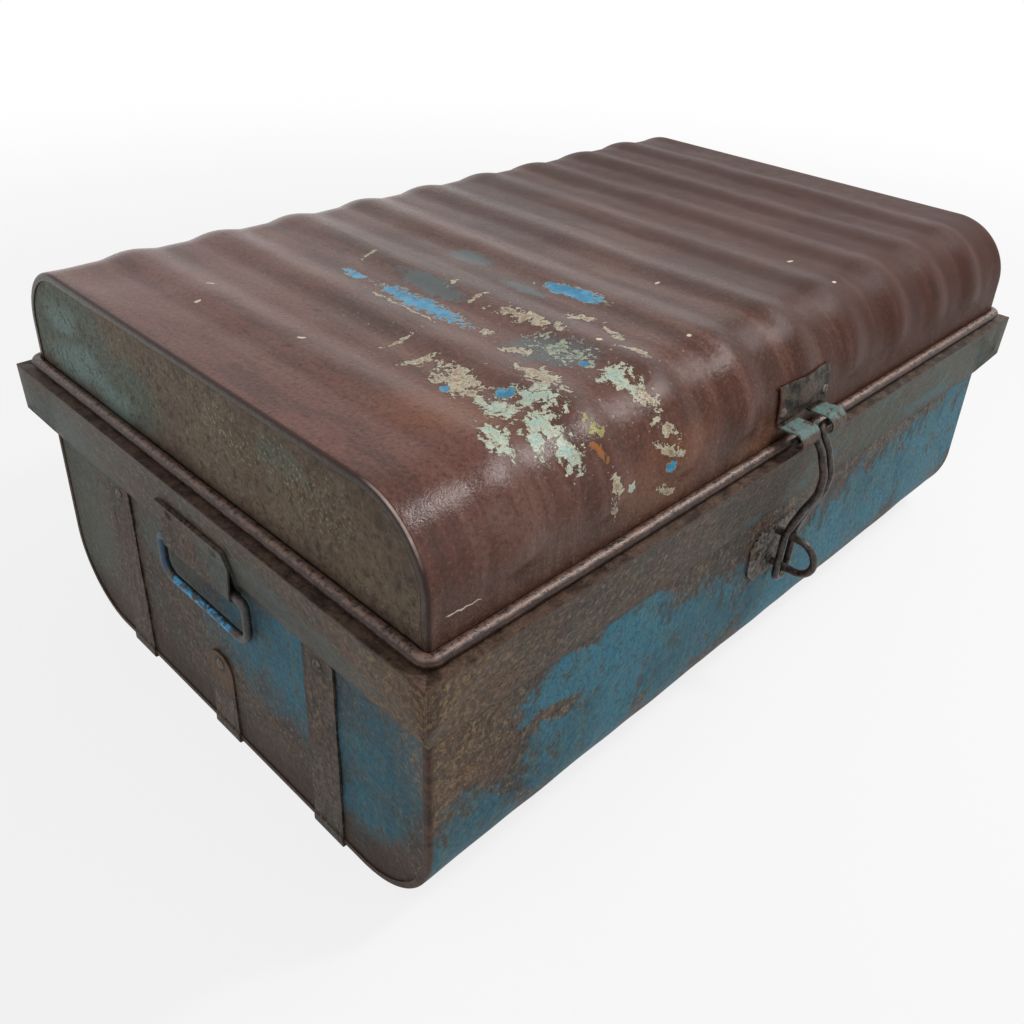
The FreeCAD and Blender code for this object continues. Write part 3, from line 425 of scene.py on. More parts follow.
def lid_paint():
    """Red-brown paint with a soft gloss, flaked to cream, mint and blue coats in the middle."""
    material, tree, where, x, y, z = start_material("lid_paint")
    sheet, down = unrolled_lid(tree, x, y, z)
    broad = speckle(tree, where, 7.0, 4.0, 0.6, 0.3)
    streaks = speckle(tree, stretched(tree, where, (1.0, 0.15, 0.15)), 55.0, 5.0, 0.62)
    medium = speckle(tree, where, 90.0, 5.0, 0.68)
    fine = speckle(tree, where, 330.0, 4.0, 0.72)
    grain = speckle(tree, where, 700.0, 2.0, 0.6)

    # Lighter at the near end and darker towards the right: partly the sheet's own tone, partly painted
    # light and shade.
    base = blend(tree, ramp(tree, x, 0.10, -0.36), (66, 42, 34), (106, 68, 60))
    base = tinted(tree, base, [
        (broad, 0.42, 0.62, 0.55, (100, 68, 57)),
        # Darker at the right end: partly its own tone, partly painted shade.
        (x, 0.16, 0.36, 0.8, (50, 29, 22)),
        (patches(tree, sheet, LID_DULL), 0.0, 0.6, 0.55, (68, 56, 51)),
        # Darker over the front round and down the front: partly painted shade, partly dirt.
        (down, 0.185, 0.245, 0.75, (78, 47, 37)),
        (down, 0.262, 0.315, 0.7, (74, 52, 40)),
        (streaks, 0.50, 0.64, 0.40, (118, 88, 77)),
        (streaks, 0.50, 0.38, 0.50, (62, 44, 38))])
    warm = ramp(tree, patches(tree, sheet, LID_WARM), 0.0, 0.6)
    base = tinted(tree, base, [(broad, 0.36, 0.56, 0.55, (124, 76, 50))], warm)
    base = tinted(tree, base, [
        (fine, 0.48, 0.38, 0.45, (48, 32, 28)),
        (fine, 0.54, 0.66, 0.22, (138, 106, 92)),
        (grain, 0.44, 0.34, 0.25, (50, 36, 32)),
        # Redder and darker over the right: partly its own tone, partly painted shade.
        (x, -0.14, 0.26, 0.7, (52, 22, 13))])
    low = times(tree, ramp(tree, down, 0.245, 0.300), 0.45)
    base = scribbled(tree, base, where, low, 95.0, (52, 36, 31), (122, 98, 80))
    marks = times(tree, ramp(tree, medium, 0.34, 0.30), ramp(tree, broad, 0.42, 0.58))
    base = tint(tree, base, marks, 0.6, (48, 34, 30))

    loose = shaken(tree, sheet, 60.0, 0.014)
    tight = shaken(tree, sheet, 130.0, 0.005)
    chips = speckle(tree, sheet, 120.0, 5.0, 0.66, 0.6)
    scars = weighted(tree, (patches(tree, tight, LID_SCARS), 1.0), (chips, 0.8))
    base = tinted(tree, base, [(scars, 0.66, 0.74, 0.6, (50, 32, 30))])
    haze = ragged(tree, patches(tree, loose, LID_HAZE), chips, fine, 0.16, 0.4, 0.35)
    base = tint(tree, base, haze, 0.7, (84, 98, 100))
    coats = []
    for places, level, outer, inner in LID_FLAKES:
        cover = patches(tree, loose, places)
        base, coat = flaked(tree, base, cover, chips, fine, level, outer, inner, (58, 42, 36))
        coats.append(coat)
    grey, cream, mint, gold = coats[:4]
    paint = larger(tree, larger(tree, cream, mint), larger(tree, grey, gold))
    torn = speckle(tree, sheet, 210.0, 4.0, 0.65, 1.2)
    gone = times(tree, paint, larger(tree, ramp(tree, torn, 0.40, 0.37), veins(tree, torn, 0.012)))
    base = tint(tree, base, gone, 0.8, (86, 66, 52))
    cover = patches(tree, tight, LID_BLUE)
    gate = ramp(tree, cover, 0.02, 0.10)
    field = weighted(tree, (cover, 0.9), (chips, 2.4))
    edge = times(tree, ramp(tree, field, 1.34, 1.40), gate)
    base = tint(tree, base, edge, 0.6, (66, 74, 76))
    base = tinted(tree, base, [(fine, 0.48, 0.54, 0.7, (168, 160, 138))], edge)
    blue = blend(tree, ramp(tree, medium, 0.4, 0.6), (50, 118, 150), (74, 146, 178))
    base = mixed(tree, times(tree, ramp(tree, field, 1.50, 1.54), gate), base, blue)
    dots = speckle(tree, sheet, 260.0, 3.0, 0.6)
    around = ramp(tree, patches(tree, sheet, LID_DOTTED), 0.0, 0.3)
    base = tinted(tree, base, [(dots, 0.67, 0.70, 0.75, (172, 152, 126))], around)
    base = tinted(tree, base, [(patches(tree, tight, LID_TICKS), 0.2, 0.35, 1.0, (200, 190, 168))])

    side = maths(tree, "ABSOLUTE", x)
    from_fold = apart(tree, side, HALF_L - 0.0012)
    # A dark line along the fold at each end: painted shadow in the crease.
    crease_shadow = ramp(tree, from_fold, 0.0022, 0.0006)
    # The hem on the end face takes the ends' tone, a little darker as painted shade.
    hem = mixed(tree, 0.15, end_tone(tree, where, y, z)[0], colour(50, 38, 32))
    base = mixed(tree, ramp(tree, side, HALF_L - 0.0006, HALF_L - 0.0002), base, hem)
    # A light line on the fold over the front round: partly worn bare metal, partly a painted highlight.
    bare = ramp(tree, apart(tree, down, 0.222), 0.036, 0.012)
    bare = times(tree, bare, ramp(tree, from_fold, 0.0009, 0.0004))
    base = tint(tree, base, maths(tree, "SUBTRACT", crease_shadow, bare, True), 0.75, (48, 33, 29))
    base = tint(tree, base, times(tree, bare, medium), 1.3, (190, 172, 162))
    over = minus(tree, z, LID_FOOT)
    facing = add(tree, "CombineXYZ", {"Y": y, "Z": over}).outputs[0]
    base = lined(tree, base, where, facing, ramp(tree, over, 0.020, 0.004))

    matt = ramp(tree, x, -0.08, 0.20)
    rough = weighted(tree, (medium, 0.20), (fine, 0.24), (paint, 0.08), (matt, 0.24))
    worn = larger(tree, marks, gone)
    height = weighted(tree, (fine, 0.8), (medium, 0.7), (grain, 0.45), (paint, 0.35), (worn, -0.4))
    duller = times(tree, ramp(tree, x, -0.26, -0.08), ramp(tree, down, 0.170, 0.215))
    shine = minus(tree, 0.17, times(tree, duller, 0.075))
    return end_material(material, base, rough, height, 0.00031, specular=shine)


def lid_end_paint():
    """The tone of the lid's ends, with two faint stud rings on the left one and a darker lower edge."""
    material, tree, where, x, y, z = start_material("lid_end_paint")
    base, medium, fine = end_tone(tree, where, y, z)
    studs = patches(tree, plane(tree, y, z), LID_END_STUDS)
    left = ramp(tree, x, 0.0, -0.1)
    base = tinted(tree, base, [(apart(tree, studs, 0.35), 0.20, 0.06, 0.4, (56, 46, 40))], left)
    edge = ramp(tree, z, LID_FOOT + 0.020, LID_FOOT + 0.004)
    base = tint(tree, base, edge, 0.45, (70, 54, 46))
    base = lined(tree, base, where, plane(tree, x, 0.0), edge)
    rough = plus(tree, times(tree, medium, 0.35), 0.38)
    height = weighted(tree, (fine, 0.7), (medium, 0.8), (studs, 1.2))
    return end_material(material, base, rough, height, 0.0006)


def tub_base(tree, where, broad, medium, fine):
    """Old brown paint in blotches, with dark and pale grit."""
    middle = speckle(tree, where, 150.0, 4.0, 0.65, 0.5)
    cloud = speckle(tree, where, 26.0, 3.0, 0.6, 0.4)
    base = blend(tree, ramp(tree, broad, 0.38, 0.64), (64, 50, 42), (90, 76, 64))
    return tinted(tree, base, [
        (cloud, 0.50, 0.62, 0.55, (92, 63, 51)),
        (cloud, 0.48, 0.36, 0.55, (72, 73, 65)),
        (medium, 0.47, 0.37, 0.60, (36, 29, 25)),
        (middle, 0.46, 0.39, 0.60, (28, 23, 19)),
        (fine, 0.47, 0.40, 0.60, (28, 23, 20)),
        (medium, 0.54, 0.66, 0.35, (108, 93, 77)),
        (middle, 0.56, 0.64, 0.35, (132, 114, 93)),
        (fine, 0.57, 0.64, 0.55, (150, 134, 112))])


def blue_coat(tree, base, share, broad, medium, fine, drips):
    """Blue old paint, greener in streaks, pitted down to dark iron with a pale rim round the pits."""
    blue = blend(tree, ramp(tree, broad, 0.40, 0.62), (44, 90, 106), (52, 110, 130))
    blue = tinted(tree, blue, [(drips, 0.50, 0.64, 0.55, (68, 108, 108))])
    return tinted(tree, mixed(tree, share, base, blue), [
        (fine, 0.47, 0.36, 0.6, (42, 58, 62)),
        (fine, 0.57, 0.68, 0.4, (98, 138, 146)),
        (medium, 0.44, 0.40, 0.45, (74, 84, 78)),
        (medium, 0.40, 0.36, 0.8, (50, 46, 40))], share)


def corner_rust(tree, base, where, fine, height, reach):
    """Sparse tan worms of rust round the corner that is nearest to the camera."""
    near = add(tree, "VectorMath", {0: where, 1: (-HALF_L, -HALF_W, height)}, operation="DISTANCE")
    close = ramp(tree, near.outputs["Value"], reach, reach * 0.3)
    base = tint(tree, base, close, 0.35, (96, 74, 56))
    flecks = ramp(tree, speckle(tree, where, 170.0, 4.0, 0.66, 0.8), 0.54, 0.59)
    worms = veins(tree, speckle(tree, where, 80.0, 3.0, 0.6, 1.6), 0.022)
    worms = times(tree, larger(tree, flecks, worms), close)
    return tinted(tree, base, [(fine, 0.44, 0.52, 0.75, (142, 116, 82))], worms)


def tub_paint(name, front):
    """Brown old paint with a blue coat in patches, for the sheet with the front wall or for the ends."""
    material, tree, where, x, y, z = start_material(name)
    broad = speckle(tree, where, 8.0, 5.0, 0.62, 0.3)
    medium = speckle(tree, where, 80.0, 5.0, 0.68, 0.4)
    fine = speckle(tree, where, 280.0, 4.0, 0.7)
    drips = speckle(tree, stretched(tree, where, (1.0, 1.0, 0.3)), 120.0, 4.0, 0.6)
    base = tub_base(tree, where, broad, medium, fine)
    wall = shaken(tree, plane(tree, x if front else y, z), 26.0, 0.045)
    if front:
        blue, bare, level, edge, reach = FRONT_BLUE, FRONT_BARE, 0.20, 0.30, 0.090
        base = tinted(tree, base, [(z, 0.050, 0.020, 0.6, (92, 86, 76))])
    else:
        blue, bare, level, edge, reach = END_BLUE, END_BARE, 0.02, 0.85, 0.045
        base = tinted(tree, base, [(patches(tree, wall, END_GREEN), 0.0, 0.5, 0.7, (84, 88, 80))])
    cover = weighted(tree, (patches(tree, wall, blue), 1.0), (patches(tree, wall, bare), -0.9))
    share = ragged(tree, cover, medium, broad, level, edge, 0.6)
    base = blue_coat(tree, base, share, broad, medium, fine, drips)
    if front:
        scuffs = speckle(tree, stretched(tree, where, (1.0, 1.0, 0.35)), 75.0, 2.0, 0.5)
        belt = ramp(tree, apart(tree, z, 0.128), 0.034, 0.022)
        belt = times(tree, belt, ramp(tree, x, -0.24, -0.16))
        base = tinted(tree, base, [(scuffs, 0.56, 0.62, 0.7, (46, 52, 50))], belt)
    base = scribbled(tree, base, where, 0.30, 90.0, (34, 38, 38), (108, 128, 124))
    if not front:
        foot = weighted(tree, (z, 1.0), (medium, 0.03))
        base = tinted(tree, base, [(foot, 0.075, 0.035, 0.8, (52, 37, 30))])
    base = corner_rust(tree, base, where, fine, 0.150, reach)
    if front:
        hem = ramp(tree, maths(tree, "ABSOLUTE", x), HALF_L - 0.0050, HALF_L - 0.0020)
        seam = blend(tree, ramp(tree, medium, 0.4, 0.6), (46, 32, 28), (88, 66, 56))
        base = mixed(tree, times(tree, hem, 0.9), base, seam)
        facing = add(tree, "CombineXYZ", {"Y": y, "Z": minus(tree, z, RIM_Z)}).outputs[0]
    else:
        facing = plane(tree, x, 0.0)
    base = lined(tree, base, where, facing, ramp(tree, z, 0.045, 0.010))
    rough = plus(tree, times(tree, medium, 0.4), 0.32)
    height = weighted(tree, (fine, 0.9), (medium, 1.2), (share, 0.25))
    return end_material(material, base, rough, height, 0.0016)


def band_paint(name):
    """Brown and grey-green, darker on the ledge as painted shade under the lid's bead and redder there,
    with tan rust at the corner near the camera.
    """
    material, tree, where, x, y, z = start_material(name)
    broad = speckle(tree, where, 9.0, 5.0, 0.62, 0.3)
    medium = speckle(tree, where, 80.0, 5.0, 0.68)
    fine = speckle(tree, where, 300.0, 4.0, 0.7)
    drips = speckle(tree, stretched(tree, where, (1.0, 1.0, 0.25)), 110.0, 4.0, 0.6)
    base = tub_base(tree, where, broad, medium, fine)
    right = ramp(tree, weighted(tree, (x, 1.0), (broad, 0.2)), -0.12, 0.26)
    base = tint(tree, base, right, 0.65, (56, 63, 53))
    base = tinted(tree, base, [(drips, 0.52, 0.62, 0.55, (56, 90, 92))], right)
    base = tinted(tree, base, [(y, 0.0, 0.20, 0.5, (82, 80, 72))])
    stain = patches(tree, shaken(tree, plane(tree, x, z), 26.0, 0.045), BAND_STAINS)
    stain = ragged(tree, stain, medium, fine, 0.30, 0.4, 0.6)
    base = tinted(tree, base, [(y, -0.20, -0.24, 0.7, (54, 92, 100))], stain)
    murk = patches(tree, shaken(tree, plane(tree, y, z), 26.0, 0.045), BAND_MURK)
    murk = ramp(tree, murk, 0.0, 0.5)
    base = tinted(tree, base, [(y, -0.245, -0.235, 0.6, (76, 90, 88))], murk)
    base = scribbled(tree, base, where, 0.30, 100.0, (44, 37, 32), (120, 106, 88))
    base = corner_rust(tree, base, where, fine, 0.190, 0.115)
    # The ledge is darker as painted shade under the lid's bead, and redder.
    ledge = times(tree, ramp(tree, z, RIM_Z - 0.0030, RIM_Z - 0.0008), 0.75)
    ledge_tone_and_shade = blend(tree, ramp(tree, medium, 0.4, 0.6), (50, 36, 31), (88, 68, 58))
    rough = plus(tree, times(tree, medium, 0.35), 0.32)
    height = weighted(tree, (fine, 0.8), (medium, 1.0))
    return end_material(material, mixed(tree, ledge, base, ledge_tone_and_shade), rough, height, 0.0014)


def iron(name, dark, light, rust=0.5, rough=0.42, metal=0.2, specular=0.4, soft=0.14):
    """Worn iron, with rust in blotches."""
    material, tree, where, *_ = start_material(name)
    fine = speckle(tree, where, 300.0, 5.0, 0.72)
    broad = speckle(tree, where, 60.0, 4.0, 0.6)
    coarse = speckle(tree, where, 150.0, 4.0, 0.65, 0.5)
    base = blend(tree, ramp(tree, plus(tree, fine, coarse), 1.0 - soft, 1.0 + soft), dark, light)
    base = tinted(tree, base, [(broad, 0.5, 0.62, rust, (88, 62, 50))])
    base = scribbled(tree, base, where, 0.4 * rust, 110.0, dark, light)
    surface = plus(tree, times(tree, fine, 0.3), rough - 0.15)
    return end_material(material, base, surface, plus(tree, fine, broad), 0.0005, metal, specular)


def bead_paint():
    """A painted highlight along the top of the lid's rolled edge, over dark lines of painted shade."""
    material, tree, where, _, _, z = start_material("bead_paint")
    fine = speckle(tree, where, 300.0, 5.0, 0.72)
    coarse = speckle(tree, where, 110.0, 4.0, 0.65)
    height = plus(tree, fine, coarse)
    base = blend(tree, ramp(tree, height, 0.88, 1.12), (50, 34, 29), (88, 65, 54))
    low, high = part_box("lid_rim_bead")
    level = minus(tree, plus(tree, z, times(tree, coarse, 0.0012)), low.z + 0.0006)
    level = times(tree, level, 1 / (high.z - low.z))
    top = ramp(tree, fine, 0.40, 0.55)
    # The lighter top is a painted highlight.
    base = tinted(tree, base, [(level, 0.78, 0.90, 0.55, (134, 108, 96))], top)
    # The dark lines round the bead are painted shade.
    for place, width, share in ((0.70, 0.09, 0.8), (0.40, 0.07, 0.6), (0.12, 0.14, 0.8)):
        line = apart(tree, level, place)
        base = tinted(tree, base, [(line, width, width * 0.4, share, (30, 19, 17))])
    rough = plus(tree, times(tree, fine, 0.3), 0.16)
    return end_material(material, base, rough, height, 0.0005, metal=0.1, specular=0.4)


def strap_paint():
    """Worn brown paint, scratched along the strap, rusty on the short one and dark round each rivet."""
    material, tree, where, _, y, z = start_material("strap_paint")
    broad = speckle(tree, where, 12.0, 5.0, 0.62, 0.3)
    medium = speckle(tree, where, 80.0, 5.0, 0.68)
    fine = speckle(tree, where, 300.0, 4.0, 0.7)
    long = speckle(tree, stretched(tree, where, (1.0, 1.0, 0.3)), 170.0, 4.0, 0.65, 0.5)
    flat = plane(tree, y, z)
    rust = patches(tree, shaken(tree, flat, 60.0, 0.02), STRAP_RUST)
    rings = patches(tree, flat, RIVET_RINGS)
    base = tub_base(tree, where, broad, medium, fine)
    base = tinted(tree, base, [
        (long, 0.45, 0.37, 0.65, (30, 25, 22)),
        (long, 0.58, 0.65, 0.4, (128, 116, 102)),
        (rust, 0.0, 0.5, 0.55, (112, 80, 54)),
        (rings, 0.12, 0.35, 0.75, (32, 26, 23))])
    base = mixed(tree, 0.22, base, colour(38, 33, 29))
    rough = plus(tree, times(tree, medium, 0.35), 0.34)
    height = weighted(tree, (long, 0.8), (medium, 0.8), (fine, 0.6))
    return end_material(material, base, rough, height, 0.0011)


def handle_paint():
    """Dark worn wire, bright blue on the outside of its lower bar and dull blue on its back leg."""
    material, tree, where, x, y, z = start_material("handle_paint")
    fine = speckle(tree, where, 300.0, 5.0, 0.72)
    coarse = speckle(tree, where, 120.0, 4.0, 0.65)
    base = blend(tree, ramp(tree, fine, 0.38, 0.62), (36, 34, 33), (70, 66, 60))
    leg = ramp(tree, y, 0.046, 0.052)
    base = tinted(tree, base, [(coarse, 0.42, 0.5, 0.8, (36, 74, 100))], leg)
    out = minus(tree, maths(tree, "ABSOLUTE", x), HALF_L + 0.0032)
    out = weighted(tree, (out, 1.0), (fine, 0.004))
    bright = times(tree, ramp(tree, out, 0.0030, 0.0042), ramp(tree, z, 0.1365, 0.1345))
    bright = times(tree, bright, ramp(tree, apart(tree, y, 0.004), 0.044, 0.036))
    bright = times(tree, bright, ramp(tree, speckle(tree, where, 150.0, 5.0, 0.72, 0.6), 0.46, 0.49))
    blue = blend(tree, ramp(tree, fine, 0.4, 0.6), (16, 98, 144), (58, 164, 208))
    rough = plus(tree, times(tree, fine, 0.3), 0.26)
    height = weighted(tree, (fine, 1.0), (coarse, 1.0), (bright, 0.8))
    base = mixed(tree, bright, base, blue)
    return end_material(material, base, rough, height, 0.0005, metal=0.1, specular=0.45)


def hasp_plate_paint():
    """Hammered dark plate, redder at its left side, lighter as a painted highlight where it stands farthest
    out, with pale teal on top of its tongues: teal paint, lightened as a painted highlight.
    """
    material, tree, where, x, y, z = start_material("hasp_plate_paint")
    fine = speckle(tree, where, 300.0, 5.0, 0.72)
    coarse = speckle(tree, where, 110.0, 4.0, 0.65, 0.4)
    base = blend(tree, ramp(tree, coarse, 0.42, 0.60), (36, 31, 28), (80, 73, 62))
    left = weighted(tree, (x, 1.0), (coarse, 0.02))
    base = tinted(tree, base, [
        (fine, 0.48, 0.36, 0.6, (34, 29, 26)),
        (left, -0.018, -0.030, 0.75, (98, 62, 50)),
        # Lighter brown where the plate's ribs and the tongues stand farthest out: a painted highlight.
        (y, -0.2480, -0.2500, 0.6, (96, 78, 68))])
    # Pale teal on the tongues' tops: teal paint, lightened as a painted highlight.
    top = times(tree, ramp(tree, y, -0.2480, -0.2500), ramp(tree, z, 0.2550, 0.2575))
    top = times(tree, top, ramp(tree, z, 0.2612, 0.2602))
    top = times(tree, top, ramp(tree, coarse, 0.38, 0.46))
    teal = blend(tree, fine, (66, 94, 94), (118, 138, 132))
    base = mixed(tree, times(tree, top, 0.9), base, teal)
    rough = plus(tree, times(tree, fine, 0.3), 0.28)
    return end_material(material, base, rough, weighted(tree, (fine, 1.0), (coarse, 2.5)), 0.0013)


# Meshes

def new_object(name, data):
    item = bpy.data.objects.new(name, data)
    bpy.context.scene.collection.objects.link(item)
    return item


def piece_from(name, mesh, body, material, inside):
    """A finished piece; inside is a point that all its faces are turned away from."""
    work = bmesh.new()
    work.from_mesh(mesh)
    work.normal_update()
    facing = sum((face.calc_center_median() - Vector(inside)).dot(face.normal) * face.calc_area()
                 for face in work.faces)
    if facing < 0:
        bmesh.ops.reverse_faces(work, faces=work.faces)
    work.to_mesh(mesh)
    work.free()
    mesh.shade_smooth()
    mesh.set_sharp_from_angle(angle=math.radians(SHARP_EDGE))
    piece = new_object(name, mesh)
    mesh.materials.append(material)
    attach(piece, body)
    return piece


def grid_mesh(name, points):
    """A mesh from points in rows and columns."""
    rows, columns = points.shape[:2]
    faces = []
    for i in range(rows - 1):
        for j in range(columns - 1):
            first = i * columns + j
            faces.append((first, first + 1, first + columns + 1, first + columns))
    mesh = bpy.data.meshes.new(name)
    mesh.from_pydata(points.reshape(-1, 3).tolist(), [], faces)
    return mesh


def thicken(piece, thickness=SHEET):
    solid = piece.modifiers.new("thickness", "SOLIDIFY")
    solid.thickness = thickness
    solid.offset = -1.0


def steps(length, step):
    return max(2, round(length / step))


def bent_line(z_open, z_shut, radius):
    """Places and outward directions, in Y and Z, along a wall, a bend, the flat, a bend and a wall."""
    way = 1 if z_shut > z_open else -1
    z_arc = z_shut - way * radius
    y_arc = HALF_W - radius
    places, facing = [], []
    for z in np.linspace(z_open, z_arc, steps(abs(z_arc - z_open), GRID_STEP), endpoint=False):
        places.append((HALF_W, z))
        facing.append((1.0, 0.0))
    angles = np.linspace(0, math.pi / 2, steps(radius * math.pi / 2, GRID_STEP * 0.8), endpoint=False)
    for a in angles:
        places.append((y_arc + radius * math.cos(a), z_arc + way * radius * math.sin(a)))
        facing.append((math.cos(a), way * math.sin(a)))
    for y in np.linspace(y_arc, 0, steps(y_arc, GRID_STEP * 1.5), endpoint=False):
        places.append((y, z_shut))
        facing.append((0.0, float(way)))
    half_places, half_facing = list(places), list(facing)
    places.append((0.0, z_shut))
    facing.append((0.0, float(way)))
    places += [(-y, z) for y, z in reversed(half_places)]
    facing += [(-y, z) for y, z in reversed(half_facing)]
    return np.array(places), np.array(facing)


def across_folds():
    """X and depth below the skin, along the whole sheet with its fold at each end."""
    run = [(-HALF_L, depth) for depth in np.linspace(HEM, FOLD_R, 4, endpoint=False)]
    for a in np.linspace(0, math.pi / 2, 6):
        run.append((-HALF_L + FOLD_R * (1 - math.cos(a)), FOLD_R * (1 - math.sin(a))))
    inner = HALF_L - FOLD_R
    middle = [(x, 0.0) for x in np.linspace(-inner, inner, steps(2 * inner, GRID_STEP))[1:-1]]
    return np.array(run + middle + [(-x, depth) for x, depth in reversed(run)])


def rib_rise(x):
    step = round(x / RIB_PITCH)
    away = abs(x - step * RIB_PITCH)
    if abs(step) > (RIB_COUNT - 1) / 2 or away >= RIB_WIDTH / 2:
        return 0.0
    return RIB_HEIGHT * math.cos(math.pi * away / RIB_WIDTH) ** RIB_ROUNDNESS


def smooth(value, low, high):
    share = min(1.0, max(0.0, (value - low) / (high - low)))
    return share * share * (3 - 2 * share)


def dent(place, size, depth, seed):
    return depth * noise.noise(Vector(place) / size + Vector((seed, 0, 0)))


def dents(place, sizes, seed):
    return sum(dent(place, width, depth, seed + step) for width, depth, step in sizes)


def wrap_mesh(name, z_open, z_shut, radius, ribbed, still, seed):
    """One sheet over three sides with folded ends; still is the height by the rim with no dents."""
    places, facing = bent_line(z_open, z_shut, radius)
    across = across_folds()
    z_arc = z_shut - math.copysign(radius, z_shut - z_open)
    points = np.zeros((len(across), len(places), 3))
    for i, (x, depth) in enumerate(across):
        rise = rib_rise(x) if ribbed else 0.0
        near_end = smooth(HALF_L - abs(x), 0.002, 0.020)
        for j, ((y, z), (ny, nz)) in enumerate(zip(places, facing)):
            lift = -depth
            if depth == 0.0:
                fade = smooth(abs(z - z_open), abs(z_arc - z_open) - RIB_FADE, abs(z_arc - z_open))
                calm = near_end * smooth(abs(z - z_open), still, still + DENT_EDGE)
                wave = dents((x, y, z), WRAP_DENTS, seed)
                worn = RIB_WORN + dent((x, y, z), *RIB_WEAR, seed + 3)
                lift += rise * fade * min(1.0, worn) + min(0.0, wave - WRAP_DENT_LEVEL) * calm
            points[i, j] = (x, y + ny * lift, z + nz * lift)
    return grid_mesh(name, points)


def end_mesh(name, side, z_open, z_shut, radius, still, seed):
    """An end panel inside the folds, with shallow dents."""
    way = 1 if z_shut > z_open else -1
    z_top = z_shut - way * SHEET
    z_arc = z_shut - way * radius
    inner = radius - SHEET
    rows = steps(abs(z_top - z_open), GRID_STEP)
    columns = steps(2 * HALF_W, GRID_STEP)
    points = np.zeros((rows + 1, columns + 1, 3))
    for i, z in enumerate(np.linspace(z_open, z_top, rows + 1)):
        over = max(0.0, way * (z - z_arc))
        half = HALF_W - radius + math.sqrt(max(0.0, inner ** 2 - over ** 2)) if over else HALF_W - SHEET
        for j, u in enumerate(np.linspace(-1, 1, columns + 1)):
            y = u * half
            calm = smooth(min(half - abs(y), abs(z_top - z)), 0.003, DENT_EDGE)
            calm *= smooth(abs(z - z_open), still, still + DENT_EDGE)
            sunk = max(0.0, calm * (END_DENT_LEVEL - dents((side, y, z), END_DENTS, seed)))
            points[i, j] = (side * (HALF_L - SHEET - sunk), y, z)
    return grid_mesh(name, points)


def band_mesh(name, half, base, fold_length, place):
    """One strip of the rim band; place turns (along, out, up) into a point."""
    tip = (half + LEDGE_OUT, base + LEDGE_OUT, RIM_Z)
    low = (half + LEDGE_OUT - EAR_TIP_IN, base + LEDGE_OUT - EAR_TIP_IN, RIM_Z - EAR_EDGE)
    foot = (half + SHEET, base + SHEET, BAND_FOOT)
    fold = (half - fold_length, base + LEDGE_OUT, RIM_Z)
    inset = 2 * SHEET + LIP_GAP
    lip = (half - inset, base - inset, RIM_Z)
    lip_top = (half - inset, base - inset, RIM_Z + LIP_HEIGHT)

    def other(point):
        return (-point[0], point[1], point[2])

    faces = [[fold, other(fold), other(foot), foot],
             [fold, foot, low], [fold, low, tip],
             [other(fold), other(low), other(foot)], [other(fold), other(tip), other(low)],
             [tip, lip, other(lip), other(tip), other(fold), fold],
             [lip, lip_top, other(lip_top), other(lip)]]
    work = bmesh.new()
    verts = {}
    for face in faces:
        corners = []
        for point in face:
            if point not in verts:
                verts[point] = work.verts.new(point)
            corners.append(verts[point])
        work.faces.new(corners)
    for along in np.arange(-half, half + BAND_STEP / 2, BAND_STEP):
        bmesh.ops.bisect_plane(work, geom=work.verts[:] + work.edges[:] + work.faces[:],
                               plane_co=(along, 0, 0), plane_no=(1, 0, 0))
    for up in np.arange(BAND_FOOT + BAND_STEP, RIM_Z - SHEET, BAND_STEP):
        bmesh.ops.bisect_plane(work, geom=work.verts[:] + work.edges[:] + work.faces[:],
                               plane_co=(0, 0, up), plane_no=(0, 0, 1))
    for vert in work.verts:
        along, out, up = vert.co
        point = Vector(place(along, out, up))
        if RIM_Z - 0.001 > up > BAND_FOOT and abs(along) < half:
            calm = smooth(up - BAND_FOOT, 0.0, 0.02)
            push = calm * min(0.0, dents(point, BAND_DENTS, BAND_SEED) - BAND_DENT_LEVEL)
            point = Vector(place(along, out + push, up))
        vert.co = point
    mesh = bpy.data.meshes.new(name)
    work.to_mesh(mesh)
    work.free()
    return mesh


def bevel(piece, width):
    rounded = piece.modifiers.new("rounded edges", "BEVEL")
    rounded.width = width
    rounded.segments = 3
    rounded.limit_method = "ANGLE"
    rounded.angle_limit = math.radians(32)


# Pieces

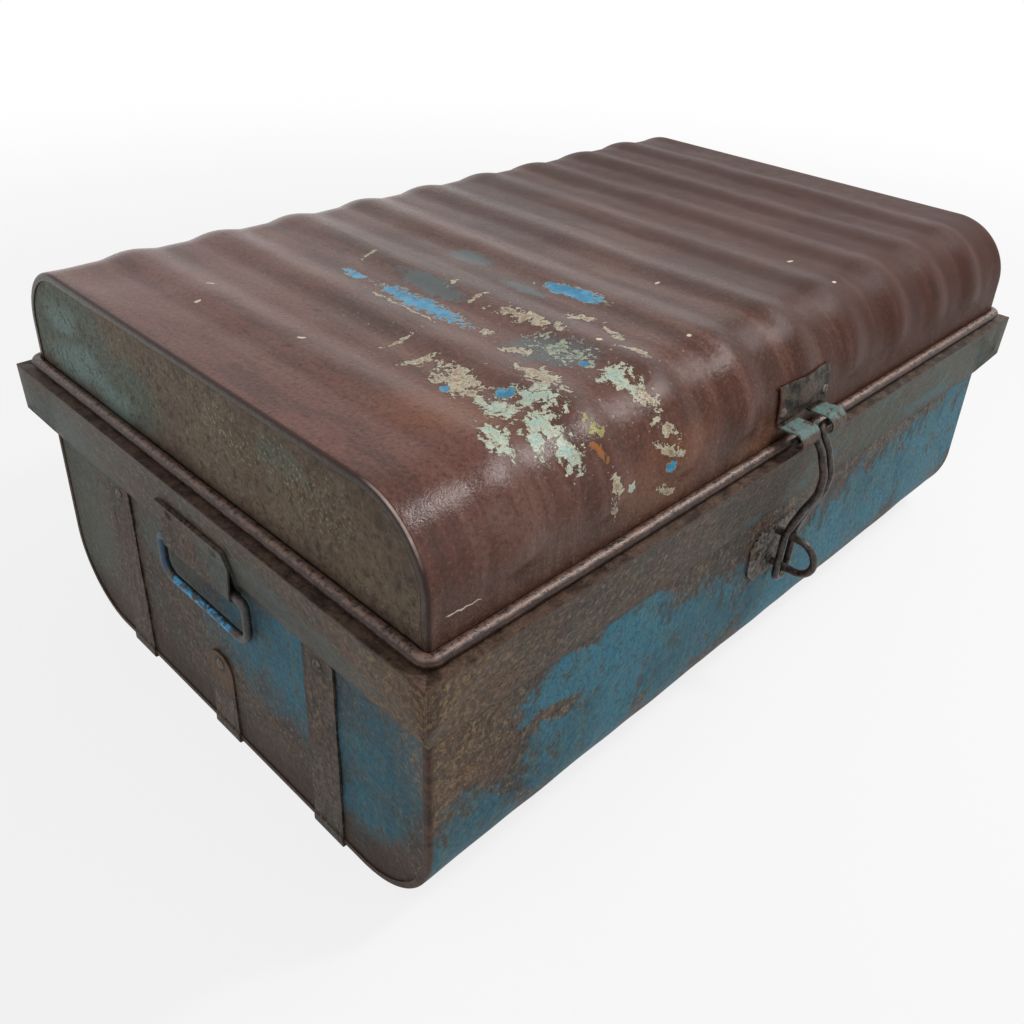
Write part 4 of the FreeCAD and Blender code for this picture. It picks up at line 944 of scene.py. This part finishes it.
def build_sheets():
    centre_lid = (0, 0, LID_FOOT)
    centre_tub = (0, 0, RIM_Z / 2)
    end_of_lid = lid_end_paint()
    end_of_tub = tub_paint("tub_end_paint", False)
    band = band_paint("band_paint")
    skin = wrap_mesh("lid_skin", LID_FOOT, LID_TOP, LID_CORNER_R, True, LID_STILL, LID_SEED)
    piece = piece_from("lid_skin", skin, "lid", lid_paint(), centre_lid)
    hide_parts("lid_wrap")
    thicken(piece)
    skin = wrap_mesh("tub_skin", TUB_HIGH.z, TUB_Z, TUB_CORNER_R, False, TUB_STILL, TUB_SEED)
    front = tub_paint("tub_front_paint", True)
    piece = piece_from("tub_skin", skin, "trunk", front, centre_tub)
    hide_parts("tub_wrap")
    thicken(piece)
    for side, word in ((-1, "left"), (1, "right")):
        panel = end_mesh("lid_end_skin_" + word, side, LID_FOOT, LID_TOP, LID_CORNER_R, LID_END_STILL,
                         LID_END_SEED + side)
        piece = piece_from("lid_end_skin_" + word, panel, "lid", end_of_lid, centre_lid)
        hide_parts("lid_end_" + word)
        thicken(piece)
        panel = end_mesh("tub_end_skin_" + word, side, TUB_HIGH.z, TUB_Z, TUB_CORNER_R, TUB_END_STILL,
                         TUB_END_SEED + side)
        piece = piece_from("tub_end_skin_" + word, panel, "trunk", end_of_tub, centre_tub)
        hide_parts("tub_end_" + word)
        thicken(piece)
    strips = {"front": (HALF_L, HALF_W, EAR_FOLD_SIDE, lambda a, o, u: (a, -o, u)),
              "back": (HALF_L, HALF_W, EAR_FOLD_SIDE, lambda a, o, u: (-a, o, u)),
              "left": (HALF_W, HALF_L, EAR_FOLD_END, lambda a, o, u: (-o, -a, u)),
              "right": (HALF_W, HALF_L, EAR_FOLD_END, lambda a, o, u: (o, a, u))}
    for word, (half, base, fold_length, place) in strips.items():
        mesh = band_mesh("rim_band_skin_" + word, half, base, fold_length, place)
        piece = piece_from("rim_band_skin_" + word, mesh, "trunk", band, centre_tub)
        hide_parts("rim_band_" + word)
        bevel(piece, BAND_BEVEL)
        thicken(piece)


def build_hasp_plate():
    """The plate on the lid's ribbed front, with two tongues bent out over the loop's arms."""
    foot = LID_FOOT + PLATE_FOOT_UP
    climb = math.radians(PLATE_CLIMB)
    z_arc = LID_TOP - LID_CORNER_R
    face = [(0.0, z) for z in np.linspace(foot, z_arc, 7, endpoint=False)]
    face += [(a, z_arc) for a in np.linspace(0, climb, 8)]
    columns = np.linspace(-HASP_PLATE_HALF, HASP_PLATE_HALF, 31)
    points = np.zeros((len(columns), len(face), 3))
    for i, x in enumerate(columns):
        for j, (turn, z) in enumerate(face):
            fade = smooth(z, z_arc - RIB_FADE, z_arc)
            lift = rib_rise(x) * fade + HASP_STRIP + PLATE_GAP - abs(dent((x, turn, z), *PLATE_DENT))
            reach = LID_CORNER_R + lift
            y = -(HALF_W - LID_CORNER_R) - reach * math.cos(turn)
            points[i, j] = (x, y, z + reach * math.sin(turn))
    plate = piece_from("hasp_plate_skin", grid_mesh("hasp_plate_skin", points), "lid",
                       hasp_plate_paint(), (0, -0.1, foot))
    thicken(plate, HASP_STRIP)
    bevel(plate, HASP_BEVEL)
    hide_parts("hasp_plate")
    paint = plate.data.materials[0]
    y, z = HASP_PIVOT
    line = [(-HALF_W + out, z + up) for out, up in TONGUE_ROOT]
    for turn in np.linspace(*TONGUE_ARC, 16):
        a = math.radians(turn)
        line.append((y - TONGUE_R * math.sin(a), z + TONGUE_R * math.cos(a)))
    for word, start, end in TONGUES:
        points = np.zeros((11, len(line), 3))
        for i, share in enumerate(np.linspace(0, 1, 11)):
            for j, (py, pz) in enumerate(line):
                slim = TONGUE_TAPER * max(0.0, j - 8) / (len(line) - 9)
                x = (start + slim) * (1 - share) + (end - slim) * share
                sag = TONGUE_SAG * math.sin(3 * math.pi * share) + dent((x, py, pz), *TONGUE_DENT)
                points[i, j] = (x, py + sag * 0.5, pz + (sag if j > 1 else 0.0))
        tongue = piece_from("hasp_tongue_" + word, grid_mesh("hasp_tongue_" + word, points), "lid",
                            paint, (0, y, z))
        thicken(tongue, TONGUE_SHEET)
        bevel(tongue, HASP_BEVEL)


def dress(names, material):
    """Give CAD nodes a better material."""
    for name in names:
        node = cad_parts[name]
        node.data.materials.clear()
        node.data.materials.append(material)


# Stage

def directly_seen(tree):
    """1 for what the camera sees, straight on or mirrored in the piece."""
    rays = add(tree, "LightPath", {}).outputs
    seen = larger(tree, rays["Is Camera Ray"], rays["Is Glossy Ray"])
    return larger(tree, seen, rays["Is Transmission Ray"])


def build_stage():
    floor_mesh = bpy.data.meshes.new("floor")
    corners = [(-FLOOR_SIZE, -FLOOR_SIZE, 0), (FLOOR_SIZE, -FLOOR_SIZE, 0),
               (FLOOR_SIZE, FLOOR_SIZE, 0), (-FLOOR_SIZE, FLOOR_SIZE, 0)]
    floor_mesh.from_pydata(corners, [], [(0, 1, 2, 3)])
    floor = new_object("floor", floor_mesh)
    material, tree, where, *_ = start_material("floor")
    seen = directly_seen(tree)
    away = add(tree, "VectorMath", {0: where}, operation="LENGTH").outputs["Value"]
    share = plus(tree, times(tree, ramp(tree, away, *FLOOR_FADE), 1 - FLOOR_GLOW), FLOOR_GLOW)
    plain = add(tree, "BsdfDiffuse", {"Color": colour(205, 205, 203)})
    glow = add(tree, "Emission", {"Color": (1, 1, 1, 1), "Strength": 1.0})
    mix = add(tree, "MixShader", {0: times(tree, seen, share), 1: plain.outputs[0], 2: glow.outputs[0]})
    add(tree, "OutputMaterial", {"Surface": mix.outputs[0]})
    floor_mesh.materials.append(material)

    world = bpy.data.worlds.new("studio")
    bpy.context.scene.world = world
    world.use_nodes = True
    tree = world.node_tree
    tree.nodes.clear()
    seen = directly_seen(tree)
    soft = add(tree, "Background", {"Color": colour(238, 240, 244), "Strength": 0.38})
    white = add(tree, "Background", {"Color": (1, 1, 1, 1), "Strength": 1.0})
    mix = add(tree, "MixShader", {0: seen, 1: soft.outputs[0], 2: white.outputs[0]})
    add(tree, "OutputWorld", {"Surface": mix.outputs[0]})


def softbox(name, place, aim, size, power, roll):
    lamp = bpy.data.lights.new(name, "AREA")
    lamp.shape = "RECTANGLE"
    lamp.size, lamp.size_y = size
    lamp.energy = power
    light = new_object(name, lamp)
    light.location = place
    light.visible_camera = False
    facing = (Vector(aim) - Vector(place)).to_track_quat("-Z", "Y")
    light.rotation_euler = (facing @ Quaternion((0, 0, 1), math.radians(roll))).to_euler()


def build_camera():
    lens = bpy.data.cameras.new("camera")
    lens.lens = CAMERA_LENS
    lens.sensor_width = 36.0
    lens.shift_x, lens.shift_y = CAMERA_SHIFT
    lens.clip_start = 0.01
    camera = new_object("camera", lens)
    camera.location = CAMERA_PLACE
    camera.rotation_euler = Euler([math.radians(a) for a in CAMERA_TURN], "XYZ")
    bpy.context.scene.camera = camera


def main():
    build_sheets()
    build_hasp_plate()
    dark_iron = iron("dark_iron", (30, 27, 26), (74, 67, 61), rust=0.35, rough=0.36)
    plate = iron("plate_iron", (24, 21, 19), (112, 105, 95), rough=0.46, metal=0.05, specular=0.2,
                 soft=0.08)
    rivet = iron("rivet_iron", (58, 51, 45), (122, 111, 98), rust=0.3, rough=0.5, metal=0.0, specular=0.2)
    dress(["lid_rim_bead"], bead_paint())
    dress(["handle_bail_left", "handle_bail_right"], handle_paint())
    dress(["hasp_loop", "staple", "lid_rim_wire", "hinge_pin_left", "hinge_pin_right"], dark_iron)
    dress(["base_strap_front", "base_strap_mid", "base_strap_back"], strap_paint())
    dress(["strap_rivets"], rivet)
    dress(["handle_clip_left", "handle_clip_right", "handle_clip_rivets"], band_paint("clip_paint"))
    hinge = iron("hinge_iron", (44, 37, 32), (84, 76, 66), rough=0.5, metal=0.0, specular=0.15)
    dress(["hasp_plate_rivets", "staple_plate", "staple_plate_rivets"], plate)
    dress(["hinge_body_leaf_left", "hinge_body_leaf_right", "hinge_lid_leaf_left", "hinge_lid_leaf_right",
           "hinge_body_rivets", "hinge_lid_rivets"], hinge)
    build_stage()
    for lamp in LAMPS:
        softbox(*lamp)
    build_camera()
    bpy.context.scene.view_settings.view_transform = "Standard"


main()
